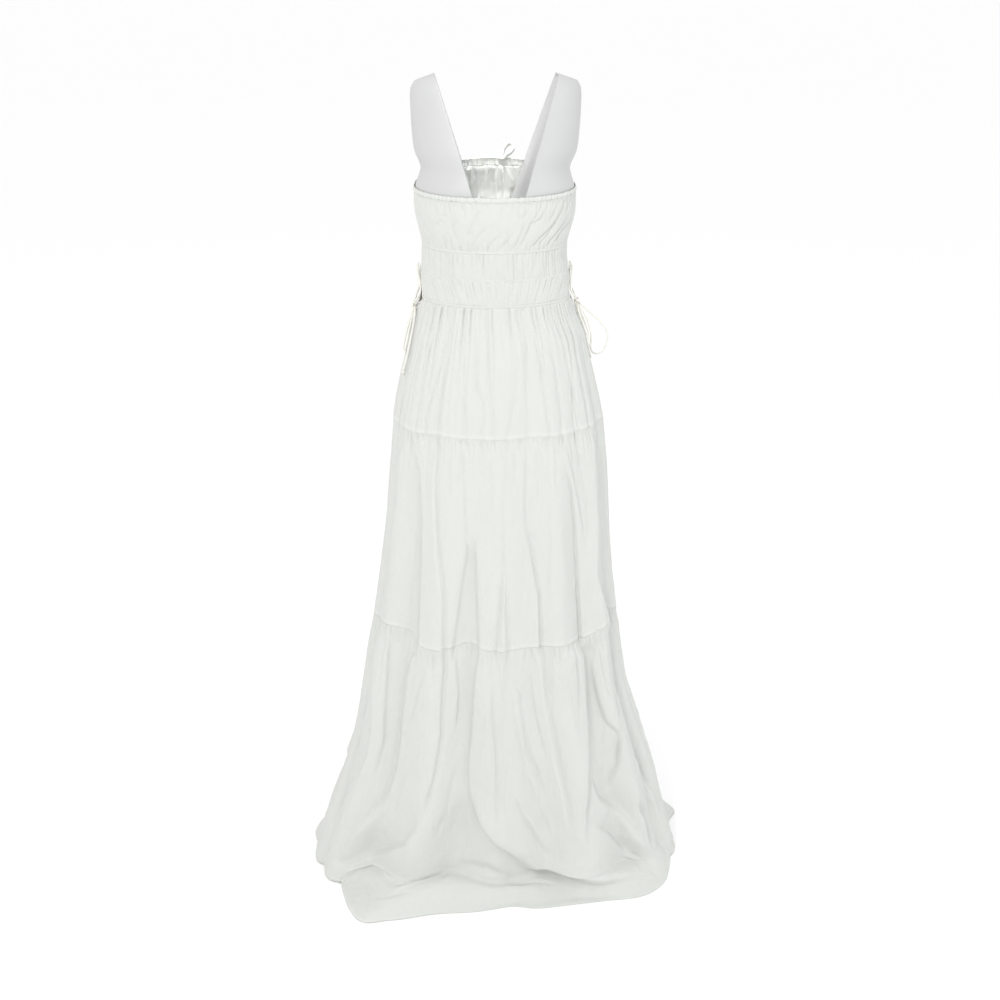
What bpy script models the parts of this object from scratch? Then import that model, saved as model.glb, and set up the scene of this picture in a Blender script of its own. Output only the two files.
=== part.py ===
"""Strapless maxi dress with three gathered skirt tiers, on a limbless dress form with a round stand.

Metres, +Z up. The back of the dress faces -Y. The origin is the middle of the stand's underside,
on the floor. Angles run round the dress from the side seam at +X, by the front (+Y), the side seam
at -X and the back (-Y).
"""
from math import asin, atan2, copysign, cos, degrees, exp, hypot, pi, radians, sin

import bmesh
import bpy
from mathutils import Vector

# Cloth
WALL = 0.0018
SEAM_GAP = 0.0003
ROUNDNESS = 2.2

# Heights of the seams at the side, and how far each one sags towards the middle
TOP_SIDE = 1.317
BACK_TOP_SAG = 0.007
FRONT_TOP_RISE = 0.031
BACK_CASING = 0.008
FRONT_CASING = 0.015
UNDERBUST, UNDERBUST_SAG = 1.221, 0.003
BAND_SEAM, BAND_SEAM_SAG = 1.178, 0.007
WAIST, WAIST_SAG = 1.130, 0.004
TIER_1_END = 0.910
TIER_2_END = 0.528
LANDING = 0.034

# Sections of the dress: height, reach to -X, reach to +X, depth of the back, depth of the front
DRESS_SECTIONS = (
    (0.000, 0.352, 0.352, 0.152, 0.246),
    (0.053, 0.346, 0.346, 0.152, 0.232),
    (0.123, 0.324, 0.326, 0.154, 0.212),
    (0.192, 0.298, 0.308, 0.155, 0.197),
    (0.259, 0.278, 0.288, 0.155, 0.185),
    (0.326, 0.263, 0.266, 0.154, 0.176),
    (0.391, 0.252, 0.246, 0.152, 0.168),
    (0.455, 0.242, 0.235, 0.150, 0.162),
    (0.528, 0.228, 0.225, 0.147, 0.157),
    (0.641, 0.210, 0.211, 0.141, 0.148),
    (0.760, 0.195, 0.202, 0.134, 0.139),
    (0.875, 0.184, 0.193, 0.126, 0.129),
    (0.931, 0.178, 0.184, 0.120, 0.122),
    (0.986, 0.168, 0.172, 0.112, 0.114),
    (1.040, 0.155, 0.159, 0.104, 0.106),
    (1.067, 0.149, 0.153, 0.099, 0.102),
    (1.105, 0.137, 0.136, 0.092, 0.094),
    (1.130, 0.131, 0.129, 0.089, 0.091),
    (1.174, 0.127, 0.123, 0.090, 0.093),
    (1.203, 0.125, 0.119, 0.092, 0.100),
    (1.230, 0.126, 0.121, 0.095, 0.111),
    (1.257, 0.131, 0.127, 0.098, 0.119),
    (1.284, 0.1355, 0.1315, 0.100, 0.118),
    (1.300, 0.1370, 0.1330, 0.100, 0.1150),
    (1.317, 0.1370, 0.1330, 0.100, 0.1110),
    (1.348, 0.1360, 0.1320, 0.098, 0.1050),
)

# Large folds of the skirt: angle, half-width in degrees, depth at the end of each tier (out is +)
SKIRT_FOLDS = (
    (24.0, 7.0, 0.003, 0.008, 0.014),
    (41.0, 7.0, -0.002, -0.007, -0.016),
    (58.0, 8.0, 0.002, 0.008, 0.018),
    (76.0, 7.0, -0.002, -0.007, -0.015),
    (93.0, 7.0, 0.002, 0.007, 0.016),
    (111.0, 8.0, -0.002, -0.008, -0.018),
    (130.0, 8.0, 0.002, 0.008, 0.016),
    (151.0, 8.0, -0.002, -0.008, -0.016),
    (196.0, 5.0, -0.004, -0.007, -0.010),
    (209.0, 7.0, 0.002, 0.006, 0.012),
    (227.0, 7.0, -0.002, -0.006, -0.016),
    (243.0, 7.0, 0.002, 0.008, 0.018),
    (257.0, 6.0, -0.002, -0.008, -0.017),
    (270.0, 6.0, 0.002, 0.006, 0.015),
    (283.0, 6.0, -0.002, -0.007, -0.016),
    (297.0, 7.0, 0.002, 0.009, 0.019),
    (312.0, 6.0, -0.002, -0.007, -0.014),
    (324.0, 5.0, 0.002, 0.007, 0.011),
    (338.0, 5.0, -0.005, -0.011, -0.015),
)

# Hem on the floor: angle round the origin, reach
HEM_OUTLINE = (
    (0.0, 0.350),
    (7.0, 0.346),
    (12.0, 0.372),
    (16.0, 0.396),
    (21.0, 0.394),
    (31.0, 0.384),
    (48.0, 0.333),
    (69.0, 0.280),
    (101.0, 0.264),
    (124.0, 0.302),
    (141.0, 0.348),
    (154.0, 0.367),
    (168.0, 0.374),
    (176.0, 0.356),
    (194.0, 0.322),
    (205.0, 0.330),
    (213.0, 0.341),
    (221.0, 0.343),
    (226.0, 0.308),
    (238.0, 0.245),
    (253.0, 0.215),
    (275.0, 0.193),
    (288.0, 0.210),
    (304.0, 0.233),
    (317.0, 0.270),
    (328.0, 0.324),
    (337.0, 0.346),
    (345.0, 0.348),
    (360.0, 0.350),
)
POOL_ROLL = 0.017
POOL_MIDDLE = 0.55

# Gathers: most outward or inward push of a column, in metres
BODICE_GATHER = 0.0018
BAND_GATHER = 0.0011
TIER_GATHER = 0.0034
BODICE_SLANT = 9.0

# Side openings at the waist: height, reach of the opening to the back, reach to the front
OPENING = (
    (1.130, 0.033, 0.019),
    (1.146, 0.026, 0.015),
    (1.162, 0.014, 0.008),
    (1.178, 0.000, 0.000),
)
OPENING_DIP = 0.014
BINDING_RADIUS = 0.0013
BINDING_INSET = 0.0024

# Laces: a round cord on each side, its knot and bow
CORD_DIAMETER = 0.0032
CORD_STEP = 0.0085
KNOT_SIZE = (0.0055, 0.0080, 0.0075)
KNOT_HEIGHT = 1.1185
KNOT_DEPTH = -0.007
KNOT_CLEARANCE = 0.0006
END_KNOT_RADIUS = 0.0030

# Neck loop at the front edge
LOOP_WIDTH, LOOP_HEIGHT, LOOP_TAPE, LOOP_THICKNESS = 0.024, 0.027, 0.0075, 0.0022
LOOP_X = 0.025

# Dress form: height, reach to -X, reach to +X, depth of the back, depth of the front
FORM_SECTIONS = (
    (0.850, 0.085, 0.085, 0.055, 0.055),
    (0.862, 0.122, 0.122, 0.080, 0.080),
    (0.886, 0.144, 0.144, 0.094, 0.094),
    (0.950, 0.156, 0.156, 0.101, 0.100),
    (1.020, 0.145, 0.146, 0.094, 0.094),
    (1.075, 0.130, 0.130, 0.084, 0.084),
    (1.130, 0.120, 0.119, 0.080, 0.081),
    (1.174, 0.1195, 0.1155, 0.083, 0.086),
    (1.221, 0.1195, 0.1145, 0.088, 0.101),
    (1.257, 0.1265, 0.1225, 0.0925, 0.1125),
    (1.284, 0.1315, 0.1275, 0.0955, 0.1125),
    (1.299, 0.1334, 0.1294, 0.0966, 0.1112),
    (1.307, 0.1342, 0.1302, 0.0982, 0.1100),
    (1.317, 0.1350, 0.1310, 0.0982, 0.1080),
    (1.333, 0.1290, 0.1260, 0.0950, 0.1050),
    (1.348, 0.1255, 0.1235, 0.0920, 0.1028),
    (1.373, 0.1350, 0.1340, 0.0860, 0.0930),
    (1.400, 0.1385, 0.1375, 0.0780, 0.0820),
    (1.450, 0.1405, 0.1400, 0.0640, 0.0620),
    (1.484, 0.1395, 0.1390, 0.0530, 0.0480),
    (1.494, 0.1330, 0.1330, 0.0460, 0.0400),
)
FORM_COLUMNS = 40
SHOULDER_START, SHOULDER_LEVEL, SHOULDER_SLOPE = 1.40, 0.100, 0.30
NOTCH_BOTTOM, NOTCH_TOP = 1.190, 1.560
NOTCH_BOTTOM_HALF, NOTCH_TOP_HALF = 0.006, 0.1206

# Stand
BASE_RADIUS, BASE_HEIGHT, BASE_BEVEL = 0.115, 0.012, 0.004
POLE_RADIUS = 0.011

# Materials: colour, roughness, metallic
MATERIALS = {
    "white_cotton": ((0.83, 0.84, 0.82, 1.0), 0.85, 0.0),
    "cream_cord": ((0.84, 0.82, 0.74, 1.0), 0.80, 0.0),
    "form_shell": ((0.72, 0.71, 0.73, 1.0), 0.45, 0.0),
    "stand_metal": ((0.60, 0.60, 0.62, 1.0), 0.35, 0.9),
}


def clear_scene():
    for thing in list(bpy.data.objects):
        bpy.data.objects.remove(thing, do_unlink=True)


def make_collection(name):
    collection = bpy.data.collections.new(name)
    bpy.context.scene.collection.children.link(collection)
    return collection


def make_material(name):
    colour, roughness, metallic = MATERIALS[name]
    material = bpy.data.materials.new(name)
    material.use_nodes = True
    shader = material.node_tree.nodes["Principled BSDF"]
    shader.inputs["Base Color"].default_value = colour
    shader.inputs["Roughness"].default_value = roughness
    shader.inputs["Metallic"].default_value = metallic
    return material


def smooth_row(table, key):
    """The other columns of a table at a key, on a smooth curve through its rows."""
    last = len(table) - 1
    key = min(max(key, table[0][0]), table[last][0])
    low = 0
    while low < last - 1 and table[low + 1][0] < key:
        low += 1
    high = low + 1
    before, after = max(low - 1, 0), min(high + 1, last)
    span = table[high][0] - table[low][0]
    t = (key - table[low][0]) / span
    values = []
    for column in range(1, len(table[0])):
        a, b = table[low][column], table[high][column]
        slope_a = (b - table[before][column]) / (table[high][0] - table[before][0]) * span
        slope_b = (table[after][column] - a) / (table[after][0] - table[low][0]) * span
        values.append(
            a * (2 * t**3 - 3 * t**2 + 1)
            + slope_a * (t**3 - 2 * t**2 + t)
            + b * (3 * t**2 - 2 * t**3)
            + slope_b * (t**3 - t**2)
        )
    return values


def section_point(table, angle, height):
    """A point of a rounded section; the angle is in degrees."""
    left, right, back, front = smooth_row(table, height)
    c, s = cos(radians(angle)), sin(radians(angle))
    depth = front if s > 0 else back
    power = 2 / ROUNDNESS
    x = (right - left) / 2 + (right + left) / 2 * copysign(abs(c) ** power, c)
    y = depth * copysign(abs(s) ** power, s)
    return Vector((x, y, height))


def side_x(side, y, height):
    """The x of the dress's section on one side (-1 or +1), at a given y."""
    left, right, back, front = smooth_row(DRESS_SECTIONS, height)
    share = abs(y) / (front if y > 0 else back)
    return (right - left) / 2 + side * (right + left) / 2 * (1 - share**ROUNDNESS) ** (1 / ROUNDNESS)


def angle_at(y, height):
    """How far from the side seam, in degrees, the section reaches a given y."""
    back, front = smooth_row(DRESS_SECTIONS, height)[2:]
    share = min(abs(y) / (front if y > 0 else back), 1.0)
    return degrees(asin(share ** (ROUNDNESS / 2)))


def middle(angle):
    """0 at the side seams, 1 at the middle of the front or back."""
    return abs(sin(radians(angle)))


def top_edge(angle):
    if sin(radians(angle)) > 0:
        return TOP_SIDE + FRONT_TOP_RISE * middle(angle) ** 1.3
    return TOP_SIDE - BACK_TOP_SAG * middle(angle)


def casing_end(angle):
    extra = FRONT_CASING - BACK_CASING if sin(radians(angle)) > 0 else 0.0
    return top_edge(angle) - BACK_CASING - extra * middle(angle)


def underbust(angle):
    return UNDERBUST - UNDERBUST_SAG * middle(angle)


def band_seam(angle):
    return BAND_SEAM - BAND_SEAM_SAG * middle(angle)


def waist(angle):
    return WAIST - WAIST_SAG * middle(angle)


def skirt_top(angle):
    """The waist seam, dipping below each side opening."""
    from_side = min(abs(angle - side) for side in (0.0, 180.0, 360.0))
    reach_back, reach_front = OPENING[0][1:]
    at_front = sin(radians(angle)) > 0
    limit = angle_at(reach_front if at_front else -reach_back, WAIST)
    if from_side >= limit:
        return waist(angle)
    return waist(angle) - OPENING_DIP * (1 - (from_side / limit) ** 2)


def uneven(number):
    """A repeatable share from 0.6 to 1 for a column or a fold."""
    return 0.8 + 0.2 * sin(2.4 * number + 1.3 * sin(1.7 * number))


def fold_push(angle, height):
    """How far the skirt's large folds push its wall out at a place."""
    push = 0.0
    for centre, half_width, depth_1, depth_2, depth_3 in SKIRT_FOLDS:
        share = (angle - centre) / half_width
        if abs(share) > 3:
            continue
        if height > TIER_1_END:
            depth = depth_1 * (WAIST - height) / (WAIST - TIER_1_END)
        elif height > TIER_2_END:
            t = (TIER_1_END - height) / (TIER_1_END - TIER_2_END)
            depth = depth_1 + (depth_2 - depth_1) * t
        else:
            t = (TIER_2_END - height) / TIER_2_END
            depth = depth_2 + (depth_3 - depth_2) * t
        push += depth * exp(-share * share)
    return push


def hem_reach(angle):
    return smooth_row(HEM_OUTLINE, angle % 360)[0]


def column_angle(column, columns, start, end):
    """An uneven spacing of the columns, exact at both ends."""
    share = column / columns
    shift = 0.0 if column in (0, columns) else 0.22 * sin(5.1 * column) / columns
    return start + (end - start) * (share + shift)


def outward(point_before, point_after, point_above, point_below):
    return (point_below - point_above).cross(point_after - point_before).normalized()


def wall_object(name, middle_rows, material, collection, level_rows=(), seam_columns=(), hem=False):
    """A closed wall about rows of middle points, which run down; each row runs round the dress.

    Rows in level_rows keep their height when offset, columns in seam_columns keep their y.
    With a hem, the wall lies flat on the floor along its last row.
    """
    rows, columns = len(middle_rows), len(middle_rows[0])
    mesh = bmesh.new()
    layers = ([], [])
    for r in range(rows):
        outer_row, inner_row = [], []
        for c in range(columns):
            point = middle_rows[r][c]
            normal = outward(
                middle_rows[r][max(c - 1, 0)],
                middle_rows[r][min(c + 1, columns - 1)],
                middle_rows[max(r - 1, 0)][c],
                middle_rows[min(r + 1, rows - 1)][c],
            )
            if r in level_rows:
                normal.z = 0.0
            if c in seam_columns:
                normal.y = 0.0
            if hem and r == rows - 1:
                normal = Vector((0.0, 0.0, 1.0))
            normal.normalize()
            outer = point + normal * WALL / 2
            inner = point - normal * WALL / 2
            outer.z = max(outer.z, WALL)
            inner.z = max(inner.z, 0.0)
            outer_row.append(mesh.verts.new(outer))
            inner_row.append(mesh.verts.new(inner))
        layers[0].append(outer_row)
        layers[1].append(inner_row)
    outer, inner = layers
    for r in range(rows - 1):
        for c in range(columns - 1):
            mesh.faces.new((outer[r][c], outer[r + 1][c], outer[r + 1][c + 1], outer[r][c + 1]))
            mesh.faces.new((inner[r][c], inner[r][c + 1], inner[r + 1][c + 1], inner[r + 1][c]))
    last = columns - 1
    for c in range(columns - 1):
        mesh.faces.new((outer[0][c], outer[0][c + 1], inner[0][c + 1], inner[0][c]))
        mesh.faces.new((outer[-1][c], inner[-1][c], inner[-1][c + 1], outer[-1][c + 1]))
    for r in range(rows - 1):
        mesh.faces.new((outer[r][0], inner[r][0], inner[r + 1][0], outer[r + 1][0]))
        mesh.faces.new((outer[r][last], outer[r + 1][last], inner[r + 1][last], inner[r][last]))
    return mesh_object(name, mesh, material, collection)


def mesh_object(name, mesh, material, collection):
    data = bpy.data.meshes.new(name)
    mesh.to_mesh(data)
    mesh.free()
    data.materials.append(material)
    thing = bpy.data.objects.new(name, data)
    collection.objects.link(thing)
    return thing


def half_range(half):
    """Where a half runs from and to, in degrees, and the small y that keeps its side seams apart."""
    if half == "front":
        return 0.0, 180.0, SEAM_GAP / 2
    return 180.0, 360.0, -SEAM_GAP / 2


def pushed(point, angle, push):
    """A section's point moved out along the section's own normal."""
    near = 0.5
    ahead = section_point(DRESS_SECTIONS, angle + near, point.z)
    behind = section_point(DRESS_SECTIONS, angle - near, point.z)
    along = (ahead - behind).normalized()
    return point + Vector((along.y, -along.x, 0.0)) * push


def cloth_rows(half, columns, levels, top, bottom, gather, slant=0.0, limits=None, folds=False):
    """Middle points of a gathered half piece between two seams.

    levels are shares from 0 at the top seam to 1 at the bottom; gather gives the push of a column
    at a level; limits gives how far from the side seams a level starts.
    """
    start, end, seam_y = half_range(half)
    rows = []
    for level in levels:
        row = []
        for c in range(columns + 1):
            at_side = c in (0, columns)
            angle = column_angle(c, columns, start, end)
            angle += slant * (0.5 - level) * middle(angle) ** 2
            height = top(angle) - SEAM_GAP / 2 + (bottom(angle) - top(angle) + SEAM_GAP) * level
            trimmed = (0.0, 0.0) if limits is None else limits(half, height)
            angle = start + trimmed[0] + (angle - start) * (end - start - sum(trimmed)) / (end - start)
            point = section_point(DRESS_SECTIONS, angle, height)
            push = 0.0 if at_side else gather(c, level) * (1 if c % 2 else -1)
            push *= min(1.0, 4 * middle(angle))
            if folds:
                push += fold_push(angle, height) * min(1.0, 6 * middle(angle))
            point = pushed(point, angle, push)
            if at_side and limits is None:
                point.y = seam_y
            row.append(point)
        rows.append(row)
    return rows


def opening_limits(half, height):
    """How many degrees the side opening takes from each end of a band at a height."""
    reach_back, reach_front = smooth_row(OPENING, height)
    reach = max(reach_front if half == "front" else reach_back, SEAM_GAP / 2)
    trim = angle_at(reach if half == "front" else -reach, height)
    return trim, trim


def even_levels(count):
    return [step / count for step in range(count + 1)]


def make_bodice(material, collection):
    """The casing, gathered bodice and two waist bands of each half."""
    for half in ("back", "front"):
        pieces = (
            ("casing", 28, 1, top_edge, casing_end, 0.0, 0.0, None),
            ("bodice", 32, 4, casing_end, underbust, BODICE_GATHER, BODICE_SLANT, None),
            ("band_upper", 24, 2, underbust, band_seam, BAND_GATHER, 0.0, None),
            ("band_lower", 24, 3, band_seam, waist, BAND_GATHER, 0.0, opening_limits),
        )
        for part, columns, count, top, bottom, most, slant, limits in pieces:
            def gather(column, level, most=most):
                return most * uneven(column) * (0.5 + 0.5 * sin(pi * level))

            rows = cloth_rows(half, columns, even_levels(count), top, bottom, gather, slant, limits)
            seam_columns = (0, columns) if limits is None else ()
            wall_object(
                half + "_" + part, rows, material, collection,
                level_rows=(0, count), seam_columns=seam_columns,
            )


def tier_end(height):
    def seam(angle):
        return height

    return seam


def make_upper_tiers(material, collection):
    """The first two skirt tiers: gathers close at the top seam, wide and soft at the next."""
    tiers = (
        ("skirt_tier_1", 44, 4, skirt_top, tier_end(TIER_1_END), 0.7, 1.0),
        ("skirt_tier_2", 36, 5, tier_end(TIER_1_END), tier_end(TIER_2_END), 0.9, 0.9),
    )
    for name, columns, count, top, bottom, at_top, at_end in tiers:
        for half in ("back", "front"):
            def gather(column, level, at_top=at_top, at_end=at_end):
                return TIER_GATHER * uneven(column) * (at_top + (at_end - at_top) * level)

            rows = cloth_rows(half, columns, even_levels(count), top, bottom, gather, folds=True)
            wall_object(
                name + "_" + half, rows, material, collection,
                level_rows=(0, count), seam_columns=(0, columns),
            )


def make_lowest_tier(material, collection):
    """The third tier hangs to the floor and spreads on it as a train."""
    columns = 40
    hanging = (0.0, 0.10, 0.24, 0.40, 0.56, 0.72, 0.86, 1.0)
    for half in ("back", "front"):
        def gather(column, level):
            return TIER_GATHER * uneven(column + 3) * (0.9 - 0.1 * level)

        rows = cloth_rows(
            half, columns, hanging, tier_end(TIER_2_END), tier_end(LANDING), gather, folds=True,
        )
        landing = rows[-1]
        pool, hem = [], []
        for c, point in enumerate(landing):
            angle = degrees(atan2(point.y, point.x))
            reach = hypot(point.x, point.y)
            far = max(hem_reach(angle), reach + 0.012)
            roll = min(POOL_ROLL, 0.008 + 0.16 * (far - reach)) * (0.75 + 0.25 * uneven(c))
            pool.append(flat_point(point, reach + (far - reach) * POOL_MIDDLE, roll))
            hem.append(flat_point(point, far, WALL / 2))
        rows = rows + [pool, hem]
        wall_object(
            "skirt_tier_3_" + half, rows, material, collection,
            level_rows=(0,), seam_columns=(0, columns), hem=True,
        )


def flat_point(point, reach, height):
    """A point beyond another one as seen from the origin, keeping a side seam's y."""
    share = reach / hypot(point.x, point.y)
    y = point.y if abs(point.y) < SEAM_GAP else point.y * share
    return Vector((point.x * share, y, height))


def smooth_route(points, step):
    """Points about one step apart on a smooth curve through a route's own points."""
    route = [Vector(p) for p in points]
    result = []
    for i in range(len(route) - 1):
        p1, p2 = route[i], route[i + 1]
        p0 = route[i - 1] if i else p1 * 2 - p2
        p3 = route[i + 2] if i + 2 < len(route) else p2 * 2 - p1
        count = max(1, round((p2 - p1).length / step))
        for k in range(count):
            t = k / count
            result.append(
                0.5 * (2 * p1 + (p2 - p0) * t + (2 * p0 - 5 * p1 + 4 * p2 - p3) * t**2
                       + (3 * p1 - p0 - 3 * p2 + p3) * t**3)
            )
    result.append(route[-1])
    return result


def tube(name, points, radius, material, collection, cyclic=False):
    data = bpy.data.curves.new(name, "CURVE")
    data.dimensions = "3D"
    data.bevel_depth = radius
    data.bevel_resolution = 1 if cyclic else 2
    data.use_fill_caps = not cyclic
    spline = data.splines.new("POLY")
    spline.points.add(len(points) - 1)
    for place, point in zip(spline.points, points):
        place.co = (*point, 1.0)
    spline.use_cyclic_u = cyclic
    data.materials.append(material)
    thing = bpy.data.objects.new(name, data)
    collection.objects.link(thing)
    return thing


def make_bindings(material, collection):
    """A narrow round binding just inside the edge of each side opening."""
    for name, side in (("left", -1), ("right", 1)):
        outline = []
        for height, back, front in OPENING[:-1]:
            outline.append((-(back - BINDING_INSET), height))
        outline.append((-0.0030, 1.1695))
        outline.append((0.0012, 1.1695))
        for height, back, front in reversed(OPENING[:-1]):
            outline.append((front - BINDING_INSET, height))
        bottom = WAIST - OPENING_DIP + BINDING_INSET
        outline.append((0.0105, bottom + 0.0042))
        outline.append((0.0000, bottom + 0.0008))
        outline.append((-0.0110, bottom + 0.0016))
        outline.append((-0.0225, bottom + 0.0060))
        points = [Vector((side_x(side, y, z), y, z)) for y, z in outline]
        tube("binding_" + name, points, BINDING_RADIUS, material, collection, cyclic=True)


# Cord routes: y, height, distance of the cord's middle out from the dress's section
LACES = {
    "lace_front": (
        (-0.0095, 1.1845, 0.0040), (-0.0050, 1.1785, 0.0036), (0.0010, 1.1730, 0.0036),
        (0.0080, 1.1640, 0.0032), (0.0115, 1.1530, 0.0030), (0.0115, 1.1420, 0.0032),
        (0.0070, 1.1320, 0.0056),
    ),
    "lace_back": (
        (0.0065, 1.1850, 0.0060), (0.0020, 1.1790, 0.0073), (-0.0045, 1.1725, 0.0073),
        (-0.0120, 1.1640, 0.0050), (-0.0185, 1.1530, 0.0032), (-0.0225, 1.1415, 0.0033),
        (-0.0205, 1.1320, 0.0056),
    ),
}
BOWS = {
    -1: {
        "bow_back": (
            (-0.0170, 1.1000, 0.0074), (-0.0235, 1.0780, 0.0070), (-0.0270, 1.0540, 0.0070),
            (-0.0225, 1.0390, 0.0072), (-0.0160, 1.0480, 0.0074), (-0.0125, 1.0700, 0.0074),
            (-0.0105, 1.0960, 0.0080),
        ),
        "bow_front": (
            (0.0000, 1.1000, 0.0080), (0.0050, 1.0780, 0.0072), (0.0100, 1.0580, 0.0072),
            (0.0165, 1.0520, 0.0074), (0.0190, 1.0620, 0.0074), (0.0155, 1.0800, 0.0074),
            (0.0090, 1.1020, 0.0074),
        ),
    },
    1: {
        "bow_back": (
            (-0.0205, 1.1010, 0.0070), (-0.0270, 1.0780, 0.0068), (-0.0275, 1.0550, 0.0070),
            (-0.0205, 1.0430, 0.0074), (-0.0140, 1.0500, 0.0086), (-0.0110, 1.0700, 0.0120),
            (-0.0095, 1.0930, 0.0140),
        ),
        "bow_front": (
            (-0.0020, 1.1060, 0.0180), (0.0000, 1.0950, 0.0245), (0.0020, 1.0830, 0.0320),
            (0.0045, 1.0670, 0.0390), (0.0060, 1.0505, 0.0400), (0.0060, 1.0360, 0.0340),
            (0.0060, 1.0245, 0.0260), (0.0080, 1.0200, 0.0165), (0.0120, 1.0215, 0.0088),
            (0.0160, 1.0320, 0.0074), (0.0165, 1.0560, 0.0074), (0.0130, 1.0800, 0.0074),
            (0.0070, 1.1010, 0.0074),
        ),
    },
}
TAILS = {
    -1: (
        (-0.0250, 1.1060, 0.0068), (-0.0340, 1.0820, 0.0066), (-0.0380, 1.0560, 0.0068),
        (-0.0390, 1.0300, 0.0070), (-0.0380, 1.0080, 0.0072),
    ),
    1: (
        (0.0180, 1.1110, 0.0066), (0.0260, 1.0900, 0.0066), (0.0290, 1.0640, 0.0068),
        (0.0300, 1.0380, 0.0072), (0.0290, 1.0120, 0.0074),
    ),
}


def side_route(side, rows):
    return [(side_x(side, y, z) + side * lift, y, z) for y, z, lift in rows]


def knot_centre(side):
    out = WALL / 2 + KNOT_SIZE[0] + 2 * KNOT_CLEARANCE
    x = side_x(side, KNOT_DEPTH, KNOT_HEIGHT) + side * out
    return Vector((x, KNOT_DEPTH, KNOT_HEIGHT))


def beside_knot(side, target):
    """Where a cord meets the knot's surface on its way to a target."""
    centre = knot_centre(side)
    way = (Vector(target) - centre).normalized()
    reach = 1 / hypot(*(part / size for part, size in zip(way, KNOT_SIZE)))
    return tuple(centre + way * (reach + KNOT_CLEARANCE))


def knot(name, centre, size, material, collection, segments=10, rings=6):
    mesh = bmesh.new()
    bmesh.ops.create_uvsphere(mesh, u_segments=segments, v_segments=rings, radius=1.0)
    bmesh.ops.scale(mesh, vec=size, verts=mesh.verts)
    bmesh.ops.translate(mesh, vec=centre, verts=mesh.verts)
    return mesh_object(name, mesh, material, collection)


def make_laces(material, collection):
    """On each side a crossed lace, its knot, a bow of two loops and one free end."""
    for name, side in (("left", -1), ("right", 1)):
        routes = {part: side_route(side, rows) for part, rows in LACES.items()}
        for part in routes:
            routes[part].append(beside_knot(side, routes[part][-1]))
        for part, rows in BOWS[side].items():
            loop = side_route(side, rows)
            routes[part] = [beside_knot(side, loop[0])] + loop + [beside_knot(side, loop[-1])]
        tail = side_route(side, TAILS[side])
        routes["tail"] = [beside_knot(side, tail[0])] + tail
        for part, route in routes.items():
            points = smooth_route(route, CORD_STEP)
            tube(part + "_" + name, points, CORD_DIAMETER / 2, material, collection)
        knot("knot_" + name, knot_centre(side), KNOT_SIZE, material, collection)
        end = tail[-1]
        drop = END_KNOT_RADIUS + SEAM_GAP
        sizes = (END_KNOT_RADIUS, END_KNOT_RADIUS, END_KNOT_RADIUS)
        knot("tail_knot_" + name, (end[0], end[1], end[2] - drop), sizes, material, collection, 8, 5)


def make_neck_loop(material, collection):
    """A flat tape folded into an upright loop on the front edge."""
    data = bpy.data.curves.new("neck_loop", "CURVE")
    data.dimensions = "2D"
    data.fill_mode = "BOTH"
    data.extrude = LOOP_THICKNESS / 2
    steps = 12
    for inset in (0.0, LOOP_TAPE):
        half_width = LOOP_WIDTH / 2 - inset
        low, high = inset * 0.55, LOOP_HEIGHT - inset
        outline = [(-half_width, low), (half_width, low)]
        shoulder = low + (high - low) * 0.45
        for k in range(steps + 1):
            turn = pi * k / steps
            outline.append((half_width * cos(turn), shoulder + (high - shoulder) * sin(turn)))
        spline = data.splines.new("POLY")
        spline.points.add(len(outline) - 1)
        for place, (u, v) in zip(spline.points, outline):
            place.co = (u, v, 0.0, 1.0)
        spline.use_cyclic_u = True
    data.materials.append(material)
    curve = bpy.data.objects.new("neck_loop_outline", data)
    collection.objects.link(curve)
    angle = degrees(atan2(1.0, LOOP_X / smooth_row(DRESS_SECTIONS, TOP_SIDE + FRONT_TOP_RISE)[3] * 0.8))
    foot = section_point(DRESS_SECTIONS, angle, top_edge(angle))
    curve.location = (LOOP_X, foot.y, foot.z + SEAM_GAP * 2)
    curve.rotation_euler = (pi / 2, 0.0, 0.0)
    bpy.context.view_layer.update()
    evaluated = curve.evaluated_get(bpy.context.evaluated_depsgraph_get())
    mesh = bpy.data.meshes.new_from_object(evaluated)
    mesh.transform(curve.matrix_world)
    work = bmesh.new()
    work.from_mesh(mesh)
    bmesh.ops.remove_doubles(work, verts=work.verts, dist=0.00001)
    bmesh.ops.recalc_face_normals(work, faces=work.faces)
    bpy.data.objects.remove(curve, do_unlink=True)
    bpy.data.meshes.remove(mesh)
    return mesh_object("neck_loop", work, material, collection)


def form_point(angle, height):
    """A point of the form's skin, its shoulders sloping down to the sides."""
    point = section_point(FORM_SECTIONS, angle, height)
    share = max(0.0, (height - SHOULDER_START) / (FORM_SECTIONS[-1][0] - SHOULDER_START))
    point.z -= SHOULDER_SLOPE * max(0.0, abs(point.x) - SHOULDER_LEVEL) * share
    return point


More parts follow.
